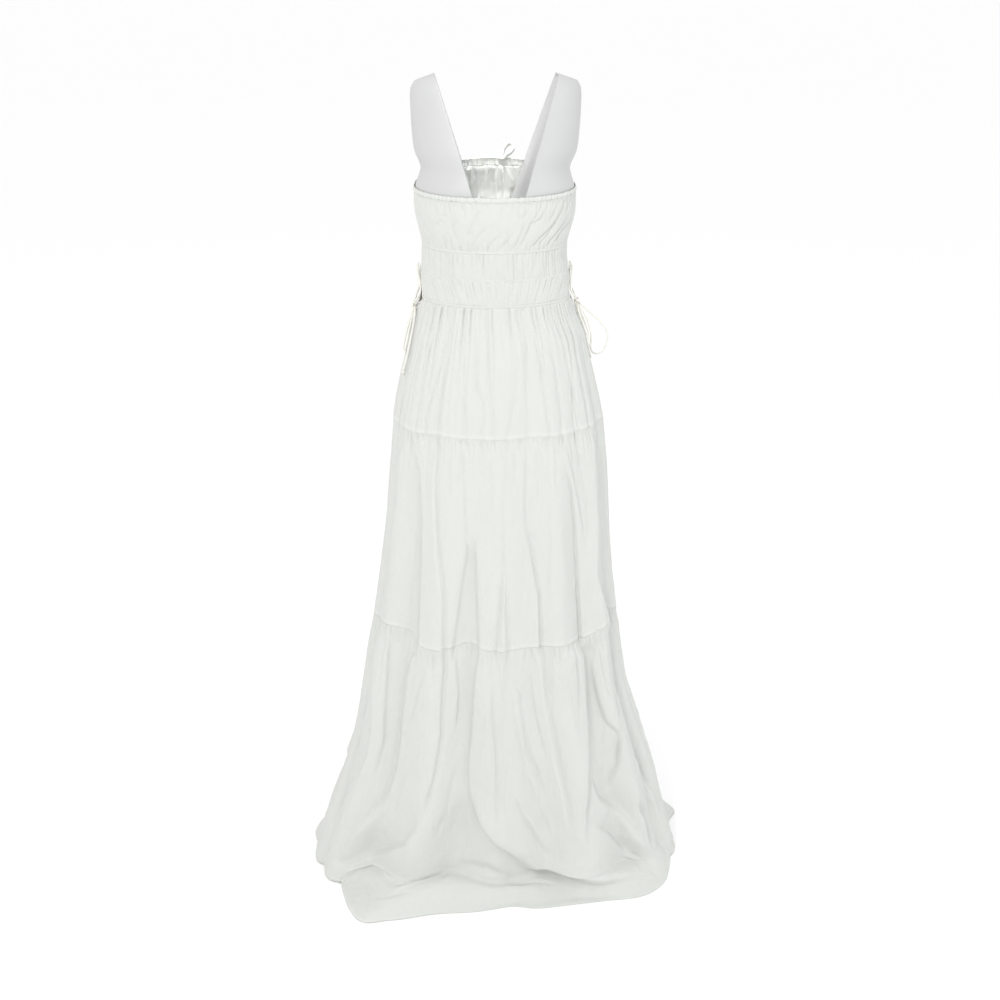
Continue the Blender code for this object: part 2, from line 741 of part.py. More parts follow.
def make_form(material, collection, cutters):
    """The torso: a loft of its sections, with a neck notch cut through from front to back."""
    mesh = bmesh.new()
    rings = []
    for row in FORM_SECTIONS:
        angles = [360 * k / FORM_COLUMNS for k in range(FORM_COLUMNS)]
        rings.append([mesh.verts.new(form_point(angle, row[0])) for angle in angles])
    for low, high in zip(rings, rings[1:]):
        for k in range(FORM_COLUMNS):
            following = (k + 1) % FORM_COLUMNS
            mesh.faces.new((low[k], low[following], high[following], high[k]))
    mesh.faces.new(list(reversed(rings[0])))
    mesh.faces.new(rings[-1])
    torso = mesh_object("form_torso", mesh, material, collection)

    notch = bmesh.new()
    bmesh.ops.create_cube(notch, size=1.0)
    for vert in notch.verts:
        at_top = vert.co.z > 0
        vert.co.x *= 2 * (NOTCH_TOP_HALF if at_top else NOTCH_BOTTOM_HALF)
        vert.co.y *= 0.5
        vert.co.z = NOTCH_TOP if at_top else NOTCH_BOTTOM
    cutter = mesh_object("neck_notch", notch, material, cutters)
    cutter.hide_render = True
    cutter.display_type = "WIRE"
    cut = torso.modifiers.new("neck_notch", "BOOLEAN")
    cut.operation = "DIFFERENCE"
    cut.solver = "EXACT"
    cut.object = cutter


def make_stand(material, collection):
    """A round base on the floor and the pole that carries the form."""
    base = bmesh.new()
    bmesh.ops.create_cone(
        base, cap_ends=True, segments=48, radius1=BASE_RADIUS, radius2=BASE_RADIUS, depth=BASE_HEIGHT,
    )
    bmesh.ops.translate(base, vec=(0.0, 0.0, BASE_HEIGHT / 2), verts=base.verts)
    plate = mesh_object("stand_base", base, material, collection)
    bevel = plate.modifiers.new("rim", "BEVEL")
    bevel.width = BASE_BEVEL
    bevel.segments = 1
    bevel.limit_method = "ANGLE"

    low, high = BASE_HEIGHT + SEAM_GAP, FORM_SECTIONS[0][0] - SEAM_GAP
    pole = bmesh.new()
    bmesh.ops.create_cone(
        pole, cap_ends=True, segments=16, radius1=POLE_RADIUS, radius2=POLE_RADIUS, depth=high - low,
    )
    bmesh.ops.translate(pole, vec=(0.0, 0.0, (low + high) / 2), verts=pole.verts)
    mesh_object("stand_pole", pole, material, collection)


def main():
    clear_scene()
    dress = make_collection("maxi_dress")
    cutters = make_collection("cutters")
    materials = {name: make_material(name) for name in MATERIALS}
    cotton = materials["white_cotton"]
    cord = materials["cream_cord"]
    make_bodice(cotton, dress)
    make_upper_tiers(cotton, dress)
    make_lowest_tier(cotton, dress)
    make_bindings(cord, dress)
    make_laces(cord, dress)
    make_neck_loop(cotton, dress)
    make_form(materials["form_shell"], dress, cutters)
    make_stand(materials["stand_metal"], dress)


main()
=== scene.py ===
"""The maxi dress on its form: cloth, cords, form finish, floor, light and camera, in metres."""

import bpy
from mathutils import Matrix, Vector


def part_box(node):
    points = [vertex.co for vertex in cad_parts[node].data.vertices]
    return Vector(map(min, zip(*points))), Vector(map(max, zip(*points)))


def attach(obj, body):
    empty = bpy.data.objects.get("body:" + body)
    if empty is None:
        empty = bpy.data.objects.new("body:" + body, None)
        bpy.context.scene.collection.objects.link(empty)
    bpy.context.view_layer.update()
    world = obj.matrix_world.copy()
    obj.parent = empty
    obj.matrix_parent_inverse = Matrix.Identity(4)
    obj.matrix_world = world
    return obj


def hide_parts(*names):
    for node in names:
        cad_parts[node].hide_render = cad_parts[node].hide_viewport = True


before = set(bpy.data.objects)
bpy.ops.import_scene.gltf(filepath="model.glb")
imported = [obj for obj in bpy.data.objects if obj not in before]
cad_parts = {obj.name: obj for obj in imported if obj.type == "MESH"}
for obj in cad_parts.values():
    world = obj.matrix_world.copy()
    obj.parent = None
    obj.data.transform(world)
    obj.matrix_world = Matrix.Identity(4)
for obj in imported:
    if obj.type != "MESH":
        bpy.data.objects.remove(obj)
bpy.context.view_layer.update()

from math import cos, hypot, pi, radians, sin

import bmesh
import bpy
import numpy as np
from mathutils import Vector


def metres(rows):
    """Rows of millimetres in metres."""
    return tuple(tuple(value / 1000 for value in row) for row in rows)


def at_angles(rows):
    """Rows of an angle and millimetres, the second in metres."""
    return tuple((angle, value / 1000) for angle, value in rows)


# Cloth: its thickness, the power that rounds its sections, and how many degrees the halves stop
# short of the side
CLOTH = 0.0007
ROUNDNESS = 2.2
SIDE_INSET = 0.02

# Heights of the seams at the side, and how far each one sags towards the middle
TOP_SIDE = 1.317
BACK_TOP_SAG = 0.007
FRONT_TOP_RISE = 0.031
BACK_CASING = 0.008
FRONT_CASING = 0.015
BUST, BODICE_LENGTH = 1.26, 0.085
UNDERBUST, UNDERBUST_SAG = 1.221, 0.003
BAND_SEAM, BAND_SEAM_SAG, BAND_MIDDLE = 1.178, 0.007, 1.18
WAIST, WAIST_SAG = 1.130, 0.004
TIER_1_END = 0.910
TIER_2_END = 0.528
LANDING = 0.034

# Sections of the dress in mm: height, reach to -X, reach to +X, depth of the back and of the front
DRESS_SECTIONS = metres((
    (0, 352, 352, 152, 246), (53, 346, 346, 152, 232), (123, 324, 326, 154, 212),
    (192, 298, 308, 155, 197), (259, 278, 288, 155, 185), (326, 263, 266, 154, 176),
    (391, 252, 246, 152, 168), (455, 242, 235, 150, 162), (528, 228, 225, 147, 157),
    (641, 210, 211, 141, 148), (760, 195, 202, 134, 139), (875, 184, 193, 126, 129),
    (931, 178, 184, 120, 122), (986, 168, 172, 112, 114), (1040, 155, 159, 104, 106),
    (1067, 149, 153, 99, 102), (1105, 137, 136, 92, 94), (1130, 131, 129, 89, 91),
    (1174, 127, 123, 90, 93), (1203, 125, 119, 92, 100), (1230, 126, 121, 95, 111),
    (1257, 131, 127, 98, 119), (1284, 135.5, 131.5, 100, 118), (1300, 137, 133, 100, 115),
    (1317, 137, 133, 100, 111), (1348, 136, 132, 98, 105),
))

# Large folds of the skirt: angle, half-width in degrees, depth in mm at the end of each tier (out
# is +)
SKIRT_FOLDS = (
    (24, 7, 3, 8, 14), (41, 7, -2, -7, -16), (58, 8, 2, 8, 18), (76, 7, -2, -7, -15),
    (93, 7, 2, 7, 16), (111, 8, -2, -8, -18), (130, 8, 2, 8, 16), (151, 8, -2, -8, -16),
    (196, 5, -4, -7, -10), (209, 7, 2, 6, 12), (227, 7, -2, -6, -16), (243, 7, 2, 8, 18),
    (257, 6, -2, -8, -17), (270, 6, 2, 6, 15), (283, 6, -2, -7, -16), (297, 7, 2, 9, 19),
    (312, 6, -2, -7, -14), (324, 5, 2, 7, 11), (338, 5, -5, -11, -15),
)

# Hem on the floor: angle round the origin, reach in mm
HEM_OUTLINE = at_angles((
    (0, 350), (7, 346), (12, 372), (16, 396), (21, 394), (31, 384), (48, 333), (69, 280),
    (101, 264), (124, 302), (141, 348), (154, 367), (168, 374), (176, 356), (194, 322), (205, 330),
    (213, 341), (221, 343), (226, 308), (238, 245), (253, 215), (275, 193), (288, 210), (304, 233),
    (317, 270), (328, 324), (337, 346), (345, 348), (360, 350),
))

# Side openings at the waist: height, reach of the opening to the back, reach to the front
OPENING = (
    (1.130, 0.033, 0.019),
    (1.146, 0.026, 0.015),
    (1.162, 0.014, 0.008),
    (1.178, 0.000, 0.000),
)
# How far the skirt dips below an opening, how high the flat edge above the waist is, and the
# binding's radius and how far in from the opening's edge it runs
OPENING_DIP, WAIST_TAPE = 0.014, 0.0048
BINDING_RADIUS, BINDING_INSET = 0.0013, 0.0024

# Laces: the cord, the knots, where they sit at a side, and the wall they lie against
CORD_DIAMETER = 0.0032
KNOT_SIZE = (0.0055, 0.0080, 0.0075)
KNOT_HEIGHT = 1.1185
KNOT_DEPTH = -0.007
KNOT_CLEARANCE = 0.0006
WALL = 0.0018
END_KNOT_RADIUS, END_KNOT_CORD = 0.0030, 0.0013
KNOT_STEPS, CORD_STEP = 72, 0.003

# Creases of each piece: depth of the line itself (out is +), step from its left side to its right
# (on a line that runs across, from below it to above it), width of the line, and the reach over
# which the step dies away, all in mm. Then come the line's points: an angle and a percentage of the
# way down the piece each. Past 100 the lowest tier lies on the floor, with its hem at 200. A line
# that doesn't start or end at a seam fades in or out over a share of its own length.
MM = 0.001
AT_SEAM, FADE_IN, FADE_OUT = 0.02, 0.25, 0.30
BODICE_CREASES = (
    (-1.6, 0.8, 2.2, 10, 280, 95, 285, 64, 288, 36),
    (-2.2, 1.2, 2.4, 10, 284, 97, 292, 44, 300, 34, 304, 10),
    (-2.4, 1.4, 2.4, 10, 293, 98, 301, 72, 314, 47, 322, 20),
    (-1.8, 1, 2.2, 10, 300, 90, 310, 63, 316, 40),
    (-2.4, 1.2, 2.2, 10, 307, 96, 319, 66, 328, 48, 333, 30),
    (-2.4, 1, 2.2, 10, 316, 94, 326, 65, 339, 50, 346, 28),
    (-1.6, 0.6, 2, 10, 318, 3, 311, 33, 306, 48),
    (-1.6, 0.6, 2, 10, 327, 3, 320, 31, 316, 40),
    (-1.2, 0.5, 1.8, 10, 280, 3, 284, 29, 283, 40),
    (-1.4, 0.6, 1.8, 10, 293, 3, 288, 23, 283, 38),
    (-1.5, 0.6, 2, 10, 302, 3, 296, 30, 289, 50),
    (-1.4, 0.5, 2, 10, 336, 3, 331, 22, 328, 34),
    (-1.4, -0.6, 2.4, 10, 262, 10, 256, 28, 252, 51, 248, 76),
    (-1.5, -0.5, 2.2, 10, 252, 97, 256, 68, 261, 56, 267, 38),
    (-1.4, 0.5, 2.2, 10, 243, 28, 238, 47, 240, 65, 240, 80),
    (-1.3, 0.8, 2.4, 10, 222, 52, 230, 33),
    (-1.1, 0.3, 1.8, 10, 217, 66, 222, 97),
    (-1.1, 0.3, 1.8, 10, 229, 64, 229, 97),
    (-1.1, 0.3, 1.8, 10, 234, 60, 236, 97),
    (-1.2, 0.4, 1.8, 10, 243, 85, 244, 98),
    (-1.5, 0.5, 2.4, 10, 192, 30, 208, 63, 215, 82),
    (-1.3, 0.4, 2, 10, 222, 3, 226, 34),
    (-1.2, 0.4, 2, 10, 207, 3, 211, 28),
    (-1.2, -0.4, 2, 10, 246, 3, 247, 24),
    (-1.3, 0.6, 2.2, 10, 262, 97, 268, 74, 272, 60),
    (-1.3, 0.5, 2.2, 10, 270, 98, 277, 70, 281, 52),
)
TIER_1_CREASES = (
    (-2.2, 0.5, 3, 10, 212, 20, 209, 67, 206, 100),
    (-2, -0.8, 2.8, 10, 227, 2, 222, 33, 220, 65, 219, 100),
    (-2.4, 0.8, 3, 10, 239, 0, 239, 32, 236, 89, 236, 100),
    (-1.8, 0.5, 2.6, 10, 235, 15, 234, 45, 227, 87, 227, 100),
    (-2, -0.5, 2.6, 10, 247, 0, 249, 39, 253, 100),
    (-2, 0.6, 2.8, 10, 255, 4, 258, 61, 262, 72, 261, 100),
    (-2.2, 0.6, 2.8, 10, 262, 0, 264, 39, 266, 83, 267, 100),
    (1.4, 0, 6, 10, 269, 25, 270, 60, 270, 90),
    (-2, -0.6, 2.8, 10, 278, 10, 278, 56, 274, 87, 272, 100),
    (-2.2, 0.6, 3, 10, 286, 0, 284, 41, 283, 67, 282, 100),
    (-2.2, 0.8, 2.8, 10, 289, 5, 293, 42, 294, 74, 294, 100),
    (-2.2, 0.8, 3, 10, 299, 3, 303, 50, 303, 82, 302, 100),
    (-2.6, 0.8, 3, 10, 311, 0, 314, 34, 315, 66, 315, 100),
    (-2.4, 0.6, 3, 10, 318, 5, 319, 43, 312, 89, 312, 100),
    (-4, 1.5, 4.2, 10, 327, 6, 325, 39, 325, 70, 325, 100),
    (-2, 0, 3, 10, 340, 15, 338, 60, 336, 100),
    (-3, -1, 3.6, 10, 200, 25, 198, 60, 196, 100),
)
TIER_2_CREASES = (
    (-5, 6, 2.8, 22, 199, 8, 206, 35, 201, 60, 195, 80, 192, 100),
    (-3, 4, 3, 18, 212, 0, 205, 14, 209, 32),
    (-6, 13, 2.8, 34, 216, 0, 224, 19, 228, 45, 230, 73, 232, 100),
    (-2, -2, 2.6, 14, 229, 5, 230, 26, 234, 54),
    (-5, -8, 2.6, 26, 236, 0, 237, 31, 240, 51, 245, 73, 247, 100),
    (-3.4, -2, 2.2, 14, 250, 0, 252, 19, 254, 45, 256, 60),
    (-1.6, -7, 2.4, 20, 256, 44, 253, 73, 251, 100),
    (-2, 8, 2, 20, 258, 44, 260, 70, 262, 100),
    (-3, 1, 1.6, 10, 272, 0, 270, 30, 271, 60),
    (-4.5, 3, 1.8, 14, 271, 46, 270, 80, 269, 100),
    (-4, -3, 1.8, 14, 271, 50, 272, 80, 273, 100),
    (2.5, 0, 2, 8, 271, 60, 271, 80, 271, 100),
    (-3.2, 2, 2, 14, 276, 0, 274, 26),
    (-2.6, -3, 2, 14, 281, 3, 280, 30, 281, 45),
    (2, 0, 2.2, 10, 279, 5, 278, 25, 279, 45),
    (-5, -7, 2.6, 26, 280, 36, 284, 57, 287, 75, 287, 100),
    (-2, 3, 3, 18, 293, 10, 292, 58, 290, 88),
    (-6, 9, 2.6, 28, 298, 3, 307, 27, 309, 46, 310, 74, 310, 100),
    (-3.4, -3, 2.2, 12, 302, 0, 309, 22, 313, 38, 316, 60),
    (-3.4, 2, 2.2, 14, 311, 0, 315, 22, 317, 40, 315, 62),
    (-8, -14, 3.2, 32, 328, 0, 327, 23, 326, 49, 323, 71, 327, 86, 333, 100),
    (-3, 2, 2.2, 16, 266, 4, 265, 36),
    (-2.4, 1, 2, 12, 244, 4, 245, 28),
    (-2.2, -1, 1.8, 10, 286, 4, 287, 30),
    (1.8, 0, 7, 20, 222, 30, 223, 50, 224, 70),
    (1.8, 0, 9, 24, 297, 30, 300, 60, 301, 85),
    (-2.6, 3, 4, 22, 342, 5, 344, 45, 348, 90),
    (-2.2, -2, 3.4, 18, 335, 30, 336, 60, 339, 85),
    (-2, 2, 3.4, 16, 190, 5, 188, 40, 186, 70),
)
TIER_3_CREASES = (
    (-6, 12, 3.4, 28, 194, 30, 194, 46, 191, 66, 203, 79, 208, 90),
    (-4, 4, 3, 18, 188, 0, 190, 25, 196, 42, 201, 58),
    (-5, 8, 3, 28, 197, 0, 204, 18, 209, 38, 209, 53, 205, 66, 210, 84),
    (-3.4, -4, 2.6, 18, 213, 0, 216, 20, 218, 45, 216, 66),
    (-4, 10, 4, 30, 231, 0, 227, 17, 226, 38, 226, 56, 224, 71, 215, 85, 211, 105),
    (-5, -5, 3, 26, 248, 0, 248, 15, 248, 35, 246, 53, 243, 73, 240, 84),
    (-3, 15, 4.4, 40, 244, 62, 242, 74, 239, 83, 231, 91, 214, 105, 202, 130),
    (-2, -4, 2.4, 20, 252, 0, 255, 20, 254, 38),
    (-3, 7, 2.4, 26, 262, 0, 261, 14, 260, 31, 258, 49, 259, 64, 263, 75),
    (-3, 26, 4.6, 50, 259, 60, 263, 73, 268, 81, 273, 88, 278, 97, 290, 114, 298, 141, 309, 165,
     316, 190),
    (4, 0, 2.6, 10, 271, 0, 270, 26, 270, 43, 270, 67, 272, 88),
    (-3.4, 2, 2, 12, 268, 6, 268, 42, 268, 67, 269, 84),
    (-3.2, 2.5, 2.2, 16, 273, 3, 278, 20, 279, 43, 284, 62),
    (-2.4, 1.5, 1.8, 12, 274, 10, 276, 34, 278, 56),
    (-2.4, 1.5, 1.8, 12, 282, 6, 284, 28, 286, 50),
    (-2.2, 1.5, 1.8, 12, 276, 46, 282, 70, 287, 86),
    (-4.5, 5, 2.4, 22, 272, 58, 276, 72, 284, 92),
    (-2, 1.5, 2.6, 12, 278, 30, 281, 49, 284, 68),
    (-5, -9, 2.6, 30, 288, 0, 290, 33, 290, 50, 292, 71, 292, 93),
    (-5, -14, 3, 34, 310, 0, 311, 12, 310, 24, 303, 47, 298, 70, 297, 92),
    (-4, 5, 2.4, 18, 315, 6, 318, 37, 323, 44, 318, 56, 310, 66, 302, 74),
    (-2.6, 2, 2, 12, 305, 3, 305, 20, 301, 36),
    (-2.6, 2, 2, 12, 320, 3, 322, 22, 326, 34),
    (-4, -6, 4, 24, 333, 0, 334, 30, 331, 53, 334, 75),
    (-3.2, 3, 2.2, 14, 332, 28, 324, 44, 317, 56),
    (-2.8, 2, 2.2, 14, 338, 40, 331, 56, 324, 66),
    (-2, -12, 4, 26, 302, 54, 306, 68, 316, 77, 323, 92, 328, 108),
    (-4, -8, 3.6, 26, 299, 76, 307, 84, 314, 95, 321, 115, 320, 160),
    (-12, 0, 9, 30, 324, 74, 331, 83, 330, 105),
    (-9, 0, 9, 26, 258, 95, 266, 95, 273, 101, 280, 112),
    (-4, -5, 4, 24, 334, 50, 338, 66, 345, 80, 346, 98),
    (3, 0, 2.6, 10, 296, 5, 299, 22, 299, 46),
    (2.8, 0, 2.6, 10, 241, 4, 238, 19, 233, 37),
    (4, 0, 5, 20, 211, 160, 220, 120, 228, 98, 238, 102, 248, 115),
    (3.5, -3, 5, 18, 240, 140, 248, 110, 256, 100, 264, 97),
    (-3.5, 2, 3.6, 16, 263, 100, 272, 106, 280, 127, 285, 145),
    (2.5, 0, 4, 16, 215, 120, 217, 150, 221, 190),
    (-2.5, 0, 4, 16, 230, 145, 240, 155, 250, 150),
    (-3.5, 1, 5, 20, 184, 5, 186, 50, 189, 70),
    (-3, 2, 4, 18, 346, 5, 350, 40, 352, 75),
    (3, 0, 7, 20, 235, 50, 233, 70, 226, 86),
    (-2.5, 1, 4, 14, 254, 50, 252, 68, 250, 84),
    (-1.4, 0.6, 2, 8, 258, 22, 253, 36, 249, 48),
    (-1.2, 0.5, 1.8, 8, 257, 36, 253, 45, 249, 56),
    (-1, 0.5, 1.8, 8, 254, 16, 250, 29),
    (-1.2, 0.5, 2, 8, 240, 40, 235, 52, 232, 60),
    (-1.2, 0.5, 2, 8, 266, 24, 263, 40, 262, 52),
)

# How deep the front's creases and their steps are beside the back's
FRONT_DEPTH, FRONT_STEP = 0.85, 0.8

# How much of a crease there is at the top of each tier, where it is full at the bottom
GROWTH = {1: 0.8, 2: 0.45, 3: 0.9}

# How far the tier seams rise and fall round the skirt: angle, rise in mm
SEAM_1_WAVES = at_angles((
    (0, 3), (30, -2), (60, 2), (90, -2), (120, 2), (150, -2), (180, 2), (205, 3), (220, -1),
    (235, 1), (250, -2), (270, -3), (285, 0), (300, -2), (315, 1), (330, 2), (345, 6), (360, 3),
))
SEAM_2_WAVES = at_angles((
    (0, 4), (20, -4), (45, 6), (70, -5), (95, 3), (125, -6), (150, 5), (180, 6), (200, 15),
    (214, 17), (226, 13), (232, -4), (250, -5), (258, 2), (266, -6), (300, -6), (314, -4),
    (322, 6), (334, 22), (348, 18), (360, 4),
))

# Short gathers below a seam: how many over a half, most depth and width in mm, shortest and longest
# reach in metres, and a seed for their uneven places
GATHERS = {
    "casing": (62, 2.2, 1.3, 0.02, 0.03, 3),
    "bodice_top": (64, 2.3, 1.4, 0.010, 0.044, 3),
    "bodice_low": (60, 2.2, 1.4, 0.010, 0.036, 5),
    "band_upper": (56, 2.6, 1.4, 0.03, 0.07, 7),
    "band_lower": (56, 2.6, 1.4, 0.03, 0.07, 9),
    "tier_1_short": (64, 3.0, 1.6, 0.03, 0.12, 11),
    "tier_1_long": (36, 2.6, 1.9, 0.14, 0.30, 13),
    "tier_2_short": (88, 3.2, 1.6, 0.014, 0.060, 15),
    "tier_2_long": (22, 2.4, 3.0, 0.06, 0.20, 17),
    "tier_3_short": (104, 3.2, 1.7, 0.016, 0.070, 19),
    "tier_3_long": (22, 2.8, 3.4, 0.06, 0.22, 21),
}

# Columns and rows of each piece, on the back and on the front
GRIDS = {
    "casing": ((420, 8), (420, 8)),
    "bodice": ((380, 54), (260, 44)),
    "band": ((360, 26), (240, 20)),
    "skirt_tier_1": ((400, 70), (260, 50)),
    "skirt_tier_2": ((420, 84), (240, 56)),
    "skirt_tier_3": ((360, 88), (230, 64)),
}
FLOOR_ROWS = 32

# Cord routes in mm: y, height, distance of the cord's middle out from the dress's section
LACES = {
    "lace_front": (
        (-9.5, 1184.5, 4), (-5, 1178.5, 3.6), (1, 1173, 3.6), (8, 1164, 3.2), (11.5, 1153, 3),
        (11.5, 1142, 3.2), (7, 1132, 5.6),
    ),
    "lace_back": (
        (6.5, 1185, 6), (2, 1179, 7.3), (-4.5, 1172.5, 7.3), (-12, 1164, 5), (-18.5, 1153, 3.2),
        (-22.5, 1141.5, 3.3), (-20.5, 1132, 5.6),
    ),
}
BOWS = {
    -1: {
        "bow_back": (
            (-17, 1100, 7.4), (-24, 1076, 7), (-26.8, 1056, 7), (-27.2, 1046.2, 7),
            (-25.1, 1041.1, 7.1), (-20, 1039, 7.2), (-14.9, 1041.1, 7.3), (-12.8, 1046.2, 7.4),
            (-12.8, 1056, 7.4), (-12, 1076, 7.4), (-10.5, 1096, 8),
        ),
        "bow_front": (
            (0, 1100, 8), (4, 1083, 7.2), (6.4, 1069, 7.2), (7, 1060, 7.2), (9.1, 1054.9, 7.3),
            (14.2, 1052.8, 7.4), (19.3, 1054.9, 7.4), (21.4, 1060, 7.4), (20.6, 1070, 7.4),
            (16.5, 1085, 7.4), (9, 1102, 7.4),
        ),
    },
    1: {
        "bow_back": (
            (-20.5, 1101, 7), (-25.8, 1079, 6.8), (-27.6, 1060, 7), (-27.7, 1050.2, 7.1),
            (-25.6, 1045.1, 7.2), (-20.5, 1043, 7.4), (-15.4, 1045.1, 7.9), (-13.3, 1050.2, 8.7),
            (-13, 1060, 10.4), (-11.2, 1075, 12.5), (-9.5, 1093, 14),
        ),
        "bow_front": (
            (-2, 1106, 18), (0, 1095, 24.5), (2, 1083, 32), (4.5, 1067, 39), (6, 1050.5, 40),
            (6, 1036, 34), (6, 1024.5, 26), (8, 1020, 16.5), (12, 1021.5, 8.8), (16, 1032, 7.4),
            (16.5, 1056, 7.4), (13, 1080, 7.4), (7, 1101, 7.4),
        ),
    },
}
TAILS = {
    -1: (
        (-25, 1106, 6.8), (-34, 1082, 6.6), (-38, 1056, 6.8), (-39, 1030, 7), (-38, 1008, 7.2),
    ),
    1: (
        (18, 1111, 6.6), (26, 1090, 6.6), (29, 1064, 6.8), (30, 1038, 7.2), (29, 1012, 7.4),
    ),
}

# Dress form in mm: height, reach to -X, reach to +X, depth of the back, depth of the front
FORM_SECTIONS = metres((
    (850, 85, 85, 55, 55), (862, 122, 122, 80, 80), (886, 144, 144, 94, 94),
    (950, 156, 156, 101, 100), (1020, 145, 146, 94, 94), (1075, 130, 130, 84, 84),
    (1130, 120, 119, 80, 81), (1174, 119.5, 115.5, 83, 86), (1221, 119.5, 114.5, 88, 101),
    (1257, 126.5, 122.5, 92.5, 112.5), (1284, 131.5, 127.5, 95.5, 112.5),
    (1299, 133.4, 129.4, 96.6, 111.2), (1307, 134.2, 130.2, 98.2, 110),
    (1317, 135, 131, 98.2, 108), (1333, 129, 126, 95, 105), (1348, 125.5, 123.5, 92, 102.8),
    (1373, 135, 134, 86, 93), (1400, 138.5, 137.5, 78, 82), (1450, 140.5, 140, 64, 62),
    (1484, 139.5, 139, 53, 48), (1494, 133, 133, 46, 40),
))
FORM_COLUMNS, FORM_ROWS = 144, 120
FORM_EDGE = 0.0018
SHOULDER_START, SHOULDER_LEVEL, SHOULDER_SLOPE = 1.40, 0.100, 0.30
NOTCH_BOTTOM, NOTCH_TOP = 1.190, 1.560
NOTCH_BOTTOM_HALF, NOTCH_TOP_HALF = 0.006, 0.1206

# Neck loop: a flat tape, folded over and crossed at its foot, with its route in mm
LOOP_X, LOOP_STEP = 0.025, 0.0012
LOOP_TAPE, LOOP_THICKNESS = 0.0075, 0.0012
LOOP_ROUTE = metres((
    (-10.5, -4, 0), (-9, 5, 1), (-6, 14, 2), (-1, 21, 1), (5, 23.5, 0), (9.5, 19, -1),
    (8.5, 12, -2), (3, 7, -3), (-3, 3, -3), (-6, -4, -2),
))

# Camera: where it stands, how far it looks down, and its lens for a 36 mm wide frame
CAMERA_HEIGHT, CAMERA_DISTANCE = 1.68, 2.40
CAMERA_AZIMUTH, CAMERA_PITCH = -3.0, 21.5
LENS = 50.9
SHIFT_X, SHIFT_Y = 0.004, 0.008

# Stage: half the floor's width, how far it lies below zero, the world's light, and each lamp's
# place, target, width, watts, colour and spread in degrees
FLOOR_SIZE, FLOOR_DROP, WORLD_STRENGTH = 60.0, 0.0005, 1.04
LIGHTS = (
    ("key", (-1.0, -2.3, 2.6), (0.0, 0.0, 1.1), 0.7, 32.0, (1.0, 1.0, 0.985), 180),
    ("fill", (2.4, -1.6, 2.2), (0.0, 0.0, 0.9), 1.6, 14.0, (0.97, 1.0, 1.0), 180),
    ("top", (0.0, -0.12, 1.80), (0.0, 0.11, 1.27), 0.10, 0.125, (1.0, 1.0, 0.985), 20),
)

# Cord's colour, and each cloth's colour, its shaded patches' and how much light it lets through
CREAM = (0.86, 0.85, 0.79)
VOILE = ((0.785, 0.795, 0.770), (0.755, 0.767, 0.742), 0.30)
LINED = ((0.645, 0.655, 0.630), (0.622, 0.633, 0.608), 0.10)


def curve_table(table, keys):
    """The other columns of a table at an array of keys, on a smooth curve through its rows."""
    rows = np.array(table, dtype=float)
    x, y = rows[:, 0], rows[:, 1:]
    keys = np.clip(np.asarray(keys, dtype=float), x[0], x[-1])
    low = np.clip(np.searchsorted(x, keys, side="left") - 1, 0, len(x) - 2)
    high = low + 1
    before, after = np.maximum(low - 1, 0), np.minimum(high + 1, len(x) - 1)
    span = (x[high] - x[low])[..., None]
    t = ((keys - x[low]) / (x[high] - x[low]))[..., None]
    a, b = y[low], y[high]
    slope_a = (b - y[before]) / (x[high] - x[before])[..., None] * span
    slope_b = (y[after] - a) / (x[after] - x[low])[..., None] * span
    values = (
        a * (2 * t**3 - 3 * t**2 + 1)
        + slope_a * (t**3 - 2 * t**2 + t)
        + b * (3 * t**2 - 2 * t**3)
        + slope_b * (t**3 - t**2)
    )
    return [values[..., i] for i in range(y.shape[1])]


def section_points(table, angles, heights):
    """Points of rounded sections; angles in degrees. Arrays of one shape, plus a last axis of 3."""
    left, right, back, front = curve_table(table, heights)
    c, s = np.cos(np.radians(angles)), np.sin(np.radians(angles))
    depth = np.where(s > 0, front, back)
    power = 2 / ROUNDNESS
    x = (right - left) / 2 + (right + left) / 2 * np.sign(c) * np.abs(c) ** power
    y = depth * np.sign(s) * np.abs(s) ** power
    return np.stack([x, y, heights + 0 * x], axis=-1)


def side_x(side, y, height):
    left, right, back, front = (float(v) for v in curve_table(DRESS_SECTIONS, height))
    share = abs(y) / (front if y > 0 else back)
    reach = (1 - share**ROUNDNESS) ** (1 / ROUNDNESS)
    return (right - left) / 2 + side * (right + left) / 2 * reach


def angle_at(y, heights):
    """How far from the side seam, in degrees, the sections reach a given y."""
    back, front = curve_table(DRESS_SECTIONS, heights)[2:]
    depth = front if np.all(np.asarray(y) >= 0) else back
    share = np.minimum(np.abs(y) / depth, 1.0)
    return np.degrees(np.arcsin(share ** (ROUNDNESS / 2)))


def middle(angles):
    """0 at the side seams, 1 at the middle of the front or back."""
    return np.abs(np.sin(np.radians(angles)))


def in_front(angles):
    return np.sin(np.radians(angles)) > 0


def top_edge(angles):
    rise = FRONT_TOP_RISE * middle(angles) ** 1.3
    return TOP_SIDE + np.where(in_front(angles), rise, -BACK_TOP_SAG * middle(angles))


def casing_end(angles):
    extra = np.where(in_front(angles), FRONT_CASING - BACK_CASING, 0.0)
    return top_edge(angles) - BACK_CASING - extra * middle(angles)


def sagging(height, sag):
    """A seam that sags towards the middle of the front or back."""
    return lambda angles: height - sag * middle(angles)


def waving(height, waves):
    """A seam that rises and falls round the skirt."""
    return lambda angles: height + curve_table(waves, angles)[0]


underbust = sagging(UNDERBUST, UNDERBUST_SAG)
band_seam = sagging(BAND_SEAM, BAND_SEAM_SAG)
waist = sagging(WAIST, WAIST_SAG)
tier_1_end = waving(TIER_1_END, SEAM_1_WAVES)
tier_2_end = waving(TIER_2_END, SEAM_2_WAVES)


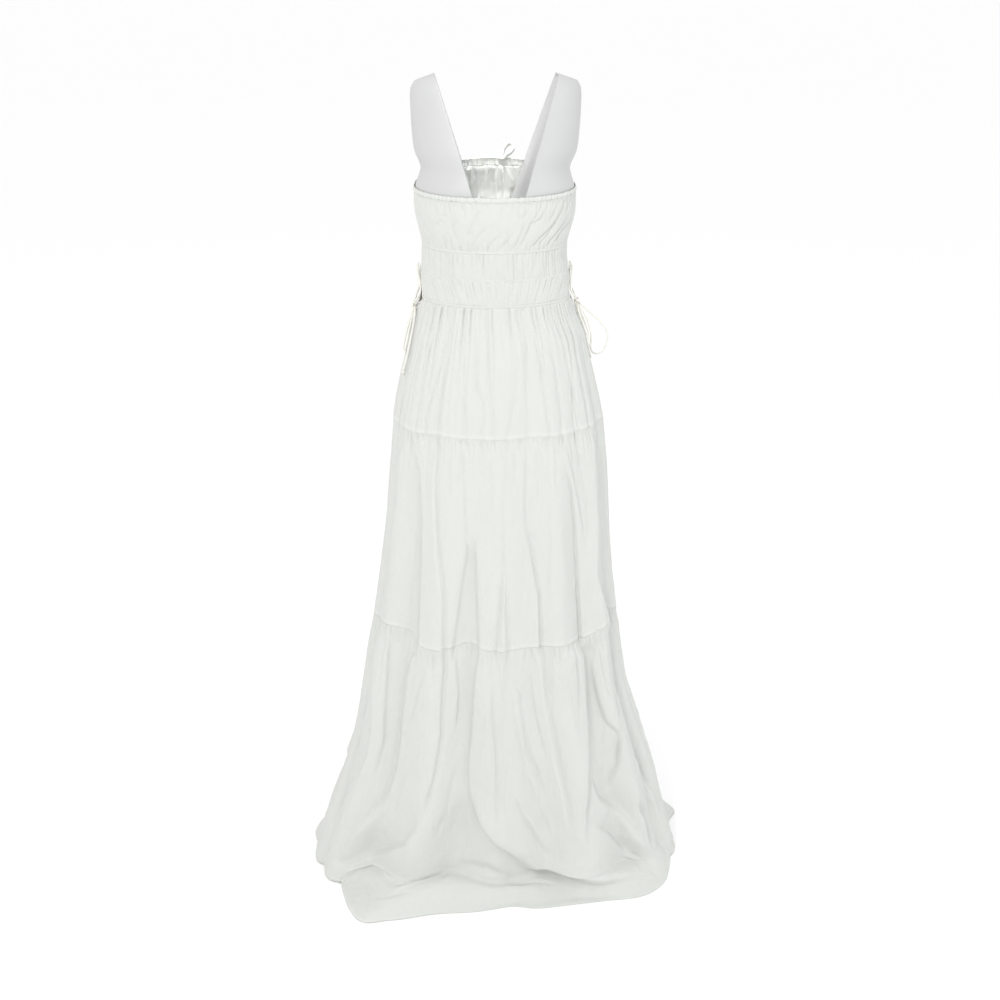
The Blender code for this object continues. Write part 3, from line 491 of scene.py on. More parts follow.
def skirt_top(angles):
    """The waist seam, dipping below each side opening."""
    from_side = np.abs((angles + 90) % 180 - 90)
    limit = np.where(
        in_front(angles), angle_at(OPENING[0][2], WAIST), angle_at(-OPENING[0][1], WAIST)
    )
    dip = OPENING_DIP * np.clip(1 - (from_side / limit) ** 2, 0, 1)
    return waist(angles) - dip


def landing(angles):
    return LANDING + 0 * angles


def noise(x, seed):
    """Smooth noise from -1 to 1 along a line."""
    values = np.random.RandomState(seed).uniform(-1, 1, 997)
    i = np.floor(x).astype(int)
    t = x - i
    t = t * t * (3 - 2 * t)
    return values[i % 997] * (1 - t) + values[(i + 1) % 997] * t


def noise_2d(x, y, seed):
    """Smooth noise from -1 to 1 over a plane."""
    values = np.random.RandomState(seed).uniform(-1, 1, (97, 89))
    i, j = np.floor(x).astype(int), np.floor(y).astype(int)
    s, t = x - i, y - j
    s, t = s * s * (3 - 2 * s), t * t * (3 - 2 * t)
    a = values[i % 97, j % 89] * (1 - s) + values[(i + 1) % 97, j % 89] * s
    b = values[i % 97, (j + 1) % 89] * (1 - s) + values[(i + 1) % 97, (j + 1) % 89] * s
    return a * (1 - t) + b * t


def bump_rows(share, start, width):
    """1 in a soft band of a given half-width about a start."""
    return np.exp(-(((share - start) / width) ** 2))


def fold_push(angles, heights):
    """How far the skirt's large folds push the cloth out."""
    first = np.clip((WAIST - heights) / (WAIST - TIER_1_END), 0, 1)
    second = np.clip((TIER_1_END - heights) / (TIER_1_END - TIER_2_END), 0, 1)
    third = np.clip((TIER_2_END - heights) / TIER_2_END, 0, 1)
    push = 0 * angles
    for centre, half_width, depth_1, depth_2, depth_3 in SKIRT_FOLDS:
        shape = np.exp(-(((angles - centre) / half_width) ** 2))
        depth = depth_1 * first + (depth_2 - depth_1) * second + (depth_3 - depth_2) * third
        push = push + depth * MM * shape
    return push * np.minimum(1.0, 6 * middle(angles))


def add_object(name, data):
    """A new object in the scene."""
    thing = bpy.data.objects.new(name, data)
    bpy.context.scene.collection.objects.link(thing)
    return thing


def mesh_object(name, mesh):
    """A new object from a bmesh, which is freed."""
    data = bpy.data.meshes.new(name)
    mesh.to_mesh(data)
    mesh.free()
    return add_object(name, data)


def thicken(thing, thickness):
    solid = thing.modifiers.new("thickness", "SOLIDIFY")
    solid.thickness = thickness
    solid.offset = 0.0


def normals_of(points):
    """Outward unit normals of a grid whose rows run down and whose columns run round."""
    down = np.gradient(points, axis=0)
    across = np.gradient(points, axis=1)
    normal = np.cross(down, across)
    return normal / np.maximum(np.linalg.norm(normal, axis=-1, keepdims=True), 1e-12)


def cloth_grid(part, half, top, bottom, finest=0.0, trim=None):
    """A half piece between two seams: shares round and down it, angles, heights and points.

    finest says how much closer together the rows are near the seams.
    """
    start, end = (0.0, 180.0) if half == "front" else (180.0, 360.0)
    columns, rows = GRIDS[part][half == "front"]
    u = np.linspace(0, 1, columns + 1)[None, :]
    v = np.linspace(0, 1, rows + 1)[:, None]
    v = v - finest * np.sin(2 * pi * v) / (2 * pi)
    angles = start + (end - start) * u + 0 * v
    angles = np.clip(angles, start + SIDE_INSET, end - SIDE_INSET)
    heights = top(angles) + (bottom(angles) - top(angles)) * v
    if trim is not None:
        cut = trim(half, heights)
        angles = start + cut + (angles - start) * (end - start - 2 * cut) / (end - start)
    points = section_points(DRESS_SECTIONS, angles, heights)
    return u + 0 * v, v + 0 * u, angles, heights, points


def grid_object(name, points, seam):
    """A sheet of quads through a grid of points, with its cloth's thickness and whiter seams."""
    rows, columns = points.shape[:2]
    index = np.arange(rows * columns).reshape(rows, columns)
    a, b = index[:-1, :-1].ravel(), index[1:, :-1].ravel()
    c, d = index[1:, 1:].ravel(), index[:-1, 1:].ravel()
    faces = np.stack([a, b, c, d], axis=1)
    mesh = bpy.data.meshes.new(name)
    mesh.from_pydata(points.reshape(-1, 3).tolist(), [], faces.tolist())
    layer = mesh.attributes.new("seam", "FLOAT", "POINT")
    layer.data.foreach_set("value", seam.ravel().astype(np.float32))
    mesh.shade_smooth()
    thing = add_object(name, mesh)
    thicken(thing, CLOTH)
    return thing


def smooth(t):
    t = np.clip(t, 0, 1)
    return t * t * (3 - 2 * t)


def crumple(x, y, size, seed):
    """Small sharp crinkles of a given size, in all directions, from -0.5 to 0.5."""
    total = 0 * x
    for turn, share in ((0.5, 0.6), (-0.9, 0.4)):
        across = (x * cos(turn) + y * sin(turn)) / size
        along = (y * cos(turn) - x * sin(turn)) / (2.2 * size)
        ridge = 1 - np.abs(noise_2d(across + 40, along + 40, seed))
        total = total + share * (ridge**2 - 0.5)
        seed += 1
    return total


def crease_push(angles, downs, rows, arc, down):
    """The push of the listed creases over a piece, in metres.

    arc is the piece's metres a degree, downs how far down the piece its points are, and down
    gives that distance for an angle and a share.
    """
    x, y = angles * arc, downs
    total = 0 * x
    for depth, step, width, reach, line in rows:
        nodes = [(a * arc, down(a, s)) for a, s in line]
        spans = [hypot(q[0] - p[0], q[1] - p[1]) for p, q in zip(nodes, nodes[1:])]
        whole, done = sum(spans), 0.0
        nearest = np.full(x.shape, 1e9)
        side, place = np.zeros(x.shape), np.zeros(x.shape)
        for (x0, y0), (x1, y1), span in zip(nodes, nodes[1:], spans):
            dx, dy = (x1 - x0) / span, (y1 - y0) / span
            t = np.clip((x - x0) * dx + (y - y0) * dy, 0, span)
            away_x, away_y = x - x0 - t * dx, y - y0 - t * dy
            away = np.hypot(away_x, away_y)
            closer = away < nearest
            nearest = np.where(closer, away, nearest)
            side = np.where(closer, np.sign(away_x * dy - away_y * dx), side)
            place = np.where(closer, (done + t) / whole, place)
            done += span
        fade = 1.0
        if line[0][1] > AT_SEAM:
            fade = fade * smooth(place / FADE_IN)
        if line[-1][1] != 1.0:
            fade = fade * smooth((1 - place) / FADE_OUT)
        s = nearest / (width * MM)
        trough = np.exp(-(s**1.5))
        lift = side * np.tanh(1.3 * s) * np.exp(-((nearest / (reach * MM)) ** 2))
        total = total + MM * fade * (depth * trough + step * lift / 2)
    return total


def gather_push(shares, below, arc_length, key):
    """Uneven narrow troughs that start at a seam and die out below it."""
    count, depth, width, shortest, longest, seed = GATHERS[key]
    chance = np.random.RandomState(seed)
    total = 0 * shares
    for k in range(count):
        place = (k + 0.5 + chance.uniform(-0.32, 0.32)) / count
        drift = chance.uniform(-0.35, 0.35) / count
        reach = chance.uniform(shortest, longest)
        deep = depth * chance.uniform(0.45, 1.0)
        wide = width * chance.uniform(0.8, 1.35)
        line = place + drift * below / longest
        s = np.abs(shares - line) * arc_length / (wide * MM * (1 + 0.6 * below / reach))
        total = total - deep * MM * np.exp(-(s**1.4)) * smooth(1.15 - below / reach)
    return total


def ends_fade(u, width=0.02):
    """0 at both side seams, 1 inside."""
    return smooth(np.minimum(u, 1 - u) / width)


def half_rows(half, rows):
    """A half's creases. The front has the back's, turned over and a little shallower."""
    result = []
    for depth, step, width, reach, *line in rows:
        points = [(angle, share / 100) for angle, share in zip(line[::2], line[1::2])]
        if half == "front":
            depth, step = FRONT_DEPTH * depth, -FRONT_STEP * step
            points = [(360 - angle, share) for angle, share in points]
        result.append((depth, step, width, reach, points))
    return result


def cloth_piece(name, points, seam, cotton, node):
    """A cloth piece through a grid of points, with all that is said of it."""
    dress_piece(grid_object(name, points, seam), cotton, node)


def dress_piece(thing, material, node):
    """Sets a cloth piece's material and body, and hides its CAD node."""
    thing.data.materials.clear()
    thing.data.materials.append(material)
    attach(thing, "root")
    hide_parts(node)


class Look:
    """A material being made round a Principled shader."""

    def __init__(self, name, colour, roughness, sheen=0.0):
        self.material = bpy.data.materials.new(name)
        self.material.use_nodes = True
        self.nodes = self.material.node_tree.nodes
        self.shader = self.nodes["Principled BSDF"]
        self.feed(self.shader, "Base Color", colour)
        self.feed(self.shader, "Roughness", roughness)
        self.feed(self.shader, "Sheen Weight", sheen)

    def feed(self, node, socket, value):
        """Sets a node's input to a number or a colour, or links an output to it."""
        target = node.inputs[socket]
        if isinstance(value, bpy.types.NodeSocket):
            self.material.node_tree.links.new(value, target)
        elif target.type == "RGBA":
            target.default_value = (*value, 1.0)
        else:
            target.default_value = value

    def math(self, operation, first, second=None):
        node = self.nodes.new("ShaderNodeMath")
        node.operation = operation
        self.feed(node, 0, first)
        if second is not None:
            self.feed(node, 1, second)
        return node.outputs[0]

    def texture(self, kind, scale, stretch=(1.0, 1.0, 1.0), detail=3.0):
        """A texture in the piece's own coordinates."""
        place = self.nodes.new("ShaderNodeTexCoord")
        mapping = self.nodes.new("ShaderNodeMapping")
        self.feed(mapping, "Scale", stretch)
        self.feed(mapping, "Vector", place.outputs["Object"])
        node = self.nodes.new("ShaderNodeTex" + kind)
        self.feed(node, "Scale", scale)
        self.feed(node, "Detail", detail)
        self.feed(node, "Vector", mapping.outputs["Vector"])
        return node

    def mix(self, share, low, high):
        """A colour between two, by a share from 0 to 1."""
        node = self.nodes.new("ShaderNodeMix")
        node.data_type = "RGBA"
        for socket, value in (("Factor", share), ("A", low), ("B", high)):
            self.feed(node, socket, value)
        return node.outputs["Result"]

    def bumps(self, *layers):
        """A chain of bumps: each layer is a texture's output, a strength and a distance."""
        previous = None
        for height, strength, distance in layers:
            bump = self.nodes.new("ShaderNodeBump")
            self.feed(bump, "Strength", strength)
            self.feed(bump, "Distance", distance)
            self.feed(bump, "Height", height)
            if previous is not None:
                self.feed(bump, "Normal", previous)
            previous = bump.outputs["Normal"]
        self.feed(self.shader, "Normal", previous)


def cotton_material(name, colour, shade, see_through):
    """Thin crinkled cotton: weave, slubs, vertical crinkle, whiter where layers meet at a seam."""
    look = Look(name, colour, 0.9, 0.25)
    look.feed(look.shader, "Sheen Roughness", 0.6)
    look.feed(look.shader, "Specular IOR Level", 0.25)
    patches = look.texture("Noise", 9.0, (1.0, 1.0, 0.35))
    slubs = look.texture("Noise", 240.0, (1.0, 1.0, 0.12))
    share = look.math("MULTIPLY", patches.outputs["Fac"], 0.7)
    share = look.math("ADD", share, look.math("MULTIPLY", slubs.outputs["Fac"], 0.3))
    seam = look.nodes.new("ShaderNodeAttribute")
    seam.attribute_name = "seam"
    whiter = tuple(min(0.93, c * 1.035) for c in colour)
    tone = look.mix(seam.outputs["Fac"], look.mix(share, shade, colour), whiter)
    look.feed(look.shader, "Base Color", tone)
    weave = look.texture("Wave", 900.0, detail=0.0)
    weave.bands_direction = "Z"
    warp = look.texture("Noise", 1500.0, (1.0, 1.0, 0.4), 1.0)
    crinkle = look.texture("Noise", 160.0, (1.0, 1.0, 0.16), 4.0)
    broad = look.texture("Noise", 34.0, (1.0, 1.0, 0.42), 2.0)
    look.feed(broad, "Distortion", 0.6)
    ridge = look.math("ABSOLUTE", look.math("SUBTRACT", broad.outputs["Fac"], 0.5))
    ridge = look.math("MINIMUM", look.math("MULTIPLY", ridge, 7.0), 1.0)
    look.bumps(
        (ridge, 0.42, 0.0016),
        (crinkle.outputs["Fac"], 0.40, 0.0016),
        (warp.outputs["Fac"], 0.18, 0.0003),
        (weave.outputs["Fac"], 0.12, 0.0002),
    )
    through = look.nodes.new("ShaderNodeBsdfTranslucent")
    look.feed(through, "Color", colour)
    blend = look.nodes.new("ShaderNodeMixShader")
    look.feed(blend, "Fac", see_through)
    look.feed(blend, 1, look.shader.outputs["BSDF"])
    look.feed(blend, 2, through.outputs["BSDF"])
    look.feed(look.nodes["Material Output"], "Surface", blend.outputs["Shader"])
    return look.material


def cord_material(name, colour):
    """A fine twisted cord, with painted shade in the grooves of its twist."""
    look = Look(name, colour, 0.8, 0.2)
    twist = look.texture("Wave", 420.0, (1.0, 1.0, 1.6), 1.0)
    twist.bands_direction = "DIAGONAL"
    fuzz = look.texture("Noise", 900.0)
    # Painted shade: the cord's colour is darker where the twist's bump sinks into a groove
    groove_shade = tuple(c * 0.88 for c in colour)
    look.feed(look.shader, "Base Color", look.mix(twist.outputs["Fac"], groove_shade, colour))
    look.bumps((twist.outputs["Fac"], 0.5, 0.0004), (fuzz.outputs["Fac"], 0.25, 0.0002))
    return look.material


def form_material():
    """The form's satin shell, with faint clouding and fine scuffs."""
    look = Look("form_shell", (0.50, 0.50, 0.505), 0.42)
    cloud = look.texture("Noise", 7.0)
    speck = look.texture("Noise", 260.0)
    tone = look.mix(cloud.outputs["Fac"], (0.47, 0.47, 0.48), (0.53, 0.53, 0.53))
    look.feed(look.shader, "Base Color", tone)
    rough = look.nodes.new("ShaderNodeMapRange")
    look.feed(rough, "To Min", 0.34)
    look.feed(rough, "To Max", 0.52)
    look.feed(rough, "Value", speck.outputs["Fac"])
    look.feed(look.shader, "Roughness", rough.outputs["Result"])
    look.bumps((speck.outputs["Fac"], 0.08, 0.0004))
    return look.material


def steel_material():
    look = Look("stand_steel", (0.58, 0.58, 0.60), 0.32)
    look.feed(look.shader, "Metallic", 1.0)
    brush = look.texture("Noise", 60.0, (1.0, 1.0, 14.0))
    tone = look.mix(brush.outputs["Fac"], (0.50, 0.50, 0.52), (0.66, 0.66, 0.68))
    look.feed(look.shader, "Base Color", tone)
    look.bumps((brush.outputs["Fac"], 0.15, 0.0002))
    return look.material


def floor_material():
    look = Look("floor_pale", (0.945, 0.945, 0.945), 0.9)
    grain = look.texture("Noise", 30.0)
    tone = look.mix(grain.outputs["Fac"], (0.94, 0.94, 0.94), (0.95, 0.95, 0.95))
    look.feed(look.shader, "Base Color", tone)
    return look.material


# Bodice and bands


def opening_trim(half, heights):
    """How many degrees the side opening takes from each end of a band."""
    reach_back, reach_front = curve_table(OPENING, heights)
    if half == "front":
        return angle_at(np.maximum(reach_front, 0.0002), heights)
    return angle_at(-np.maximum(reach_back, 0.0002), heights)


def half_arc(half, height):
    """Length round a half of the dress at a height."""
    start = 0.0 if half == "front" else 180.0
    angles = np.linspace(start + SIDE_INSET, start + 180 - SIDE_INSET, 181)
    points = section_points(DRESS_SECTIONS, angles, height + 0 * angles)
    return float(np.linalg.norm(np.diff(points, axis=0), axis=1).sum())


def push_out(points, push):
    return points + normals_of(points) * push[..., None]


def make_casing(half, cotton):
    u, v, _, _, points = cloth_grid("casing", half, top_edge, casing_end)
    arc = half_arc(half, TOP_SIDE)
    tucks = gather_push(u, 0.006 + 0 * v, arc, "casing") * ends_fade(u)
    lip = bump_rows(v, 0.0, 0.25)
    push = 0.0010 + tucks * (1 - 0.5 * lip) + 0.0005 * np.sin(pi * v) - 0.0011 * lip
    points = push_out(points, push)
    points[..., 2] += 0.7 * tucks * bump_rows(v, 0.0, 0.5)
    name = half + "_casing"
    cloth_piece(name + "_cloth", points, 0.6 + 0 * u, cotton, name)


def make_bodice(half, cotton):
    u, v, angles, _, points = cloth_grid("bodice", half, casing_end, underbust)
    length = BODICE_LENGTH

    def down(angle, share):
        return share * length

    arc = half_arc(half, BUST)
    lean = u + (0.012 if half == "back" else 0.004) * v * middle(angles)
    creases = half_rows(half, BODICE_CREASES)
    push = 1.25 * crease_push(angles, v * length, creases, arc / 180, down)
    push = push + gather_push(lean, v * length, arc, "bodice_top")
    push = push + gather_push(lean, (1 - v) * length, arc, "bodice_low")
    push = push + 0.0011 * noise_2d(lean * 15 + v, v * 2.4, 31) * np.sin(pi * v)
    push = push + 0.0008 * crumple(u * arc, v * length, 0.011, 33) * np.sin(pi * v)
    push = push + 0.0022 * np.sin(pi * v) ** 0.7
    if half == "front":
        push = push + gather_push(u, 0.02 + 0.3 * v * length, arc, "tier_1_long") * np.sin(pi * v)
    push = seam_blend(push, v * length, 0.0004, 0.004)
    push = seam_blend(push, (1 - v) * length, 0.0008, 0.004) * ends_fade(u)
    seam = smooth(1 - (1 - v) * length / 0.004) * 0.8
    name = half + "_bodice"
    points = push_out(points, push)
    cloth_piece(name + "_cloth", points, seam, cotton, name)


def seam_blend(push, away, at_seam, width):
    """Eases a push to its value at a seam."""
    share = smooth(away / width)
    return push * share + at_seam * (1 - share)


def make_bands(half, cotton):
    bands = (
        ("band_upper", underbust, band_seam, None, 0.044, 41),
        ("band_lower", band_seam, waist, opening_trim, 0.048, 53),
    )
    for part, top, bottom, trim, length, seed in bands:
        u, v, _, _, points = cloth_grid("band", half, top, bottom, 0.6, trim)
        arc = half_arc(half, BAND_MIDDLE)
        below = np.minimum(v, 1 - v) * length
        push = 0.0021 * np.sin(pi * v) ** 0.45
        push = push + gather_push(u, v * length, arc, part)
        push = push + 0.6 * gather_push(1 - u, (1 - v) * length, arc, "bodice_low")
        push = push + 0.0009 * noise_2d(u * 22, v * 1.6, seed)
        push = push + 0.0005 * crumple(u * arc, v * length, 0.009, seed + 2)
        if part == "band_lower":
            up = (1 - v) * length
            flat = 0.0016 - 0.0014 * np.exp(-(((up - WAIST_TAPE) / 0.0008) ** 2))
            push = seam_blend(push, up - WAIST_TAPE, flat, 0.003)
        push = seam_blend(push, below, 0.0003, 0.0028) * ends_fade(u, 0.03)
        seam = smooth(1 - below / 0.0035) * 0.7
        name = half + "_" + part
        points = push_out(points, push)
        cloth_piece(name + "_cloth", points, seam, cotton, name)


# Skirt

# How far a tier stands out from its seams, and from its solid's middle
TIER_FULLNESS, TIER_LIFT = 0.0016, 0.0004
# How far a tier's first row goes up and in, behind the piece above
TUCK_UP, TUCK_IN = 0.003, 0.0008
# Least reach of the cloth over the floor, and its least clearance above it
LEAST_TRAIN, FLOOR_CLEARANCE = 0.012, 0.0006
# Each tier's creases, its length, and the height at which its width is measured
TIERS = {
    1: (TIER_1_CREASES, WAIST - TIER_1_END, 1.02),
    2: (TIER_2_CREASES, TIER_1_END - TIER_2_END, 0.72),
    3: (TIER_3_CREASES, TIER_2_END - LANDING, 0.41),
}


def hem_reach(angles):
    """Length of the cloth on the floor, from the landing to the hem."""
    near_points = section_points(DRESS_SECTIONS, angles, landing(angles))
    polar = np.degrees(np.arctan2(near_points[..., 1], near_points[..., 0])) % 360
    near = np.hypot(near_points[..., 0], near_points[..., 1])
    return np.maximum(curve_table(HEM_OUTLINE, polar)[0] - near, LEAST_TRAIN)


def tier_down(tier):
    """Gives how far down a tier a place is, along the cloth."""
    length = TIERS[tier][1]

    def down(angle, share):
        angle = np.asarray(angle, dtype=float)
        return np.minimum(share, 1) * length + np.maximum(share - 1, 0) * hem_reach(angle)

    return down


def tier_relief(tier, half, u, angles, shares):
    """The push of a tier's creases and gathers, without the large folds."""
    creases, length, height = TIERS[tier]
    arc = half_arc(half, height)
    down = tier_down(tier)
    below = down(angles, shares)
    name = "tier_%d_" % tier
    grown = GROWTH[tier] + (1 - GROWTH[tier]) * np.minimum(shares, 1)
    push = crease_push(angles, below, half_rows(half, creases), arc / 180, down) * grown
    push = push * (1.25 if tier == 1 else 1.0)
    push = push + gather_push(u, below, arc, name + "short")
    push = push + gather_push(u, below, arc, name + "long")
    push = push + 0.0016 * noise_2d(u * 13 + 3, below * 9, 60 + tier) * smooth(below / 0.08)
    crinkle = crumple(u * arc, below, 0.013, 70 + tier) * (0.0001 + 0.0005 * tier)
    return push + crinkle * smooth(below / 0.03)


def tier_push(tier, half, u, angles, shares):
    """A tier's relief: it meets the tier above in one line and puffs out below the seam."""
    below = tier_down(tier)(angles, shares)
    own = tier_relief(tier, half, u, angles, shares) + TIER_FULLNESS
    if tier == 1:
        return (own * smooth(below / 0.004)) * ends_fade(u, 0.03) + TIER_LIFT
    above = tier_relief(tier - 1, half, u[:1], angles[:1], np.ones_like(u[:1])) + TIER_FULLNESS
    share = smooth((below - 0.002) / 0.035)
    puff = gather_push(u, below, half_arc(half, TIERS[tier][2]), "tier_%d_short" % tier)
    own = own * share + (above + puff * smooth(below / 0.006)) * (1 - share)
    return own * ends_fade(u, 0.03) + TIER_LIFT


def tucked(points):
    """Moves the first row up and in, behind the piece above."""
    points = points.copy()
    middle_line = points[0] - points[0] * np.array([1.0, 1.0, 0.0])
    inward = middle_line - points[0]
    inward = inward / np.linalg.norm(inward, axis=-1, keepdims=True)
    points[0] = points[0] + inward * TUCK_IN
    points[0, :, 2] += TUCK_UP
    return points


def make_upper_tiers(half, cotton):
    for tier, top, bottom in ((1, skirt_top, tier_1_end), (2, tier_1_end, tier_2_end)):
        name = "skirt_tier_%d" % tier
        length = TIERS[tier][1]
        u, v, angles, heights, points = cloth_grid(name, half, top, bottom, 0.6)
        push = tier_push(tier, half, u, angles, v) + fold_push(angles, heights)
        points = push_out(points, push)
        points[-1, :, 2] = heights[-1]
        points[0, :, 2] = heights[0]
        points = tucked(points)
        above_seam = (1 - v) * length
        seam = smooth((0.009 - above_seam) / 0.002) * (0.7 + 0.3 * noise(u * 60, 5))
        node = name + "_" + half
        cloth_piece(node + "_cloth", points, seam, cotton, node)


def pool_rows(landed, rows, u):
    """The train: rows that run out over the floor from the landing to the hem."""
    polar = np.degrees(np.arctan2(landed[:, 1], landed[:, 0])) % 360
    near = np.hypot(landed[:, 0], landed[:, 1])
    far = np.maximum(curve_table(HEM_OUTLINE, polar)[0], near + LEAST_TRAIN)
    q = np.linspace(0, 1, rows + 1)[1:, None]
    reach = near + (far - near) * q
    swell = np.minimum(0.026, 0.008 + 0.20 * (far - near))
    rolls = 0.6 + 0.4 * noise_2d(u[:1] * 8 + q * 1.2, q * 1.6, 141)
    height = LANDING * (1 - smooth(q * 1.15)) + swell * np.sin(pi * q) ** 1.1 * rolls
    x, y = landed[:, 0] / near * reach, landed[:, 1] / near * reach
    return np.stack([x, y, height], axis=-1), q


def softened(points, first, last, strength):
    """Evens out rows between two of them, so that the cloth turns onto the floor in a curve."""
    points = points.copy()
    row = np.arange(len(points))[:, None, None]
    share = strength * smooth((row - first) / 8.0) * smooth((last - row) / 6.0)
    for _ in range(30):
        mean = points.copy()
        mean[1:-1] = (points[:-2] + points[2:]) / 2
        points = points + (mean - points) * share
    return points


def make_lowest_tier(half, cotton):
    """The third tier hangs to the floor, turns and lies on it in soft rolls as a train."""
    name = "skirt_tier_3"
    u, v, angles, heights, points = cloth_grid(name, half, tier_2_end, landing, 0.35)
    base = push_out(points, fold_push(angles, heights))
    pool, q = pool_rows(base[-1], FLOOR_ROWS, u)
    base = np.concatenate([base, pool], axis=0)
    base = softened(base, len(points) - 25, len(base) - 1, 0.5)
    u = np.concatenate([u, u[:1] + 0 * q], axis=0)
    angles = np.concatenate([angles, angles[-1:] + 0 * q], axis=0)
    v = np.concatenate([v, 1 + q + 0 * u[:1]], axis=0)
    push = tier_push(3, half, u, angles, v)
    points = push_out(base, push * smooth((2.0 - v) / 0.20))
    points[0, :, 2] = heights[0]
    points = tucked(points)
    points[..., 2] = np.maximum(points[..., 2], FLOOR_CLEARANCE + CLOTH / 2)
    seam = smooth((v - 1.93) / 0.03)
    node = name + "_" + half
    cloth_piece(node + "_cloth", points, seam, cotton, node)


# Laces


def smooth_route(points, step):
    """Points about one step apart on a smooth curve through a route's own points."""
    route = [Vector(p) for p in points]
    result = []
    for i in range(len(route) - 1):
        p1, p2 = route[i], route[i + 1]
        p0 = route[i - 1] if i else p1 * 2 - p2
        p3 = route[i + 2] if i + 2 < len(route) else p2 * 2 - p1
        count = max(1, round((p2 - p1).length / step))
        for k in range(count):
            t = k / count
            result.append(
                0.5 * (2 * p1 + (p2 - p0) * t + (2 * p0 - 5 * p1 + 4 * p2 - p3) * t**2
                       + (3 * p1 - p0 - 3 * p2 + p3) * t**3)
            )
    result.append(route[-1])
    return result


def cord_curve(name, points, radius, material, closed=False):
    data = bpy.data.curves.new(name, "CURVE")
    data.dimensions = "3D"
    data.bevel_depth = radius
    data.bevel_resolution = 3
    data.use_fill_caps = not closed
    spline = data.splines.new("POLY")
    spline.points.add(len(points) - 1)
    for place, point in zip(spline.points, points):
        place.co = (*point, 1.0)
    spline.use_cyclic_u = closed
    spline.use_smooth = True
    data.materials.append(material)
    thing = add_object(name, data)
    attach(thing, "root")
    return thing


def side_route(side, rows):
    """A cord's route at a side, from its table's rows."""
    return [(side_x(side, y, z) + side * lift, y, z) for y, z, lift in metres(rows)]


def knot_centre(side):
    out = WALL / 2 + KNOT_SIZE[0] + 2 * KNOT_CLEARANCE
    return Vector((side_x(side, KNOT_DEPTH, KNOT_HEIGHT) + side * out, KNOT_DEPTH, KNOT_HEIGHT))


def beside_knot(side, target):
    """Where a cord meets the knot's surface on its way to a target."""
    centre = knot_centre(side)
    way = (Vector(target) - centre).normalized()
    reach = 1 / hypot(*(part / size for part, size in zip(way, KNOT_SIZE)))
    return tuple(centre + way * (reach + KNOT_CLEARANCE))


def tied_knot(name, centre, size, radius, material):
    """A cord wound through itself, filling a knot's size."""
    points = []
    reach = Vector([s - radius for s in size])
    for k in range(KNOT_STEPS):
        t = 2 * pi * k / KNOT_STEPS
        y = (sin(t) + 2 * sin(2 * t)) / 3
        z = (cos(t) - 2 * cos(2 * t)) / 3
        points.append(Vector(centre) + Vector((-0.8 * sin(3 * t), y, z)) * reach)
    return cord_curve(name, points, radius, material, closed=True)


def free_cord(name, points, cord):
    """A free cord in place of its solid."""
    thing = cord_curve(name + "_cord", points, CORD_DIAMETER / 2, cord)
    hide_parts(name)


def make_laces(cord):
    for name, side in (("left", -1), ("right", 1)):
        centre = knot_centre(side)
        knot = tied_knot("knot_" + name + "_cord", centre, KNOT_SIZE, CORD_DIAMETER / 2, cord)
        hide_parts("knot_" + name)
        for part, rows in LACES.items():
            route = side_route(side, rows)
            route.append(beside_knot(side, route[-1]))
            free_cord(part + "_" + name, smooth_route(route, CORD_STEP), cord)
        for part, rows in BOWS[side].items():
            loop = side_route(side, rows)
            route = [beside_knot(side, loop[0])] + loop + [beside_knot(side, loop[-1])]
            free_cord(part + "_" + name, smooth_route(route, CORD_STEP), cord)
        tail = side_route(side, TAILS[side])
        points = smooth_route([beside_knot(side, tail[0])] + tail, CORD_STEP)
        ball = Vector(tail[-1]) - Vector((0.0, 0.0, END_KNOT_RADIUS))
        size = (END_KNOT_RADIUS,) * 3
        stopper = tied_knot("tail_knot_" + name + "_cord", ball, size, END_KNOT_CORD, cord)
        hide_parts("tail_knot_" + name)
        free_cord("tail_" + name, points, cord)


def make_bindings(cord):
    """A narrow round binding just inside the edge of each side opening."""
    for name, side in (("left", -1), ("right", 1)):
        rows = OPENING[:-1]
        outline = [(-(back - BINDING_INSET), height) for height, back, front in rows]
        outline += [(-0.0030, 1.1695), (0.0012, 1.1695)]
        outline += [(front - BINDING_INSET, height) for height, back, front in reversed(rows)]
        bottom = WAIST - OPENING_DIP + BINDING_INSET
        outline += [(0.0105, bottom + 0.0042), (0.0, bottom + 0.0008)]
        outline += [(-0.0110, bottom + 0.0016), (-0.0225, bottom + 0.0060)]
        points = [(side_x(side, y, z), y, z) for y, z in outline]
        points = smooth_route(points + [points[0]], CORD_STEP)[:-1]
        edge = cord_curve("binding_" + name + "_tape", points, BINDING_RADIUS, cord, closed=True)
        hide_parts("binding_" + name)


def make_neck_loop(cotton):
    """A flat tape that stands up from the front edge, folds over and crosses itself."""
    low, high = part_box("neck_loop")
    foot_z, depth_y = low.z, (low.y + high.y) / 2
    route = [(LOOP_X + x, depth_y + y, foot_z + z) for x, z, y in LOOP_ROUTE]
    points = smooth_route(route, LOOP_STEP)
    lean = Vector((0.0, 1.0, 0.25)).normalized()
    mesh = bmesh.new()
    left, right = [], []
    for i, point in enumerate(points):
        ahead = points[min(i + 1, len(points) - 1)] - points[max(i - 1, 0)]
        across = ahead.cross(lean).normalized() * LOOP_TAPE / 2
        left.append(mesh.verts.new(point - across))
        right.append(mesh.verts.new(point + across))
    for i in range(len(points) - 1):
        mesh.faces.new((left[i], right[i], right[i + 1], left[i + 1]))
    bmesh.ops.subdivide_edges(mesh, edges=mesh.edges[:], cuts=1, use_grid_fill=True)
    tape = mesh_object("neck_loop_tape", mesh)
    tape.data.shade_smooth()
    thicken(tape, LOOP_THICKNESS)
    dress_piece(tape, cotton, "neck_loop")


# Dress form


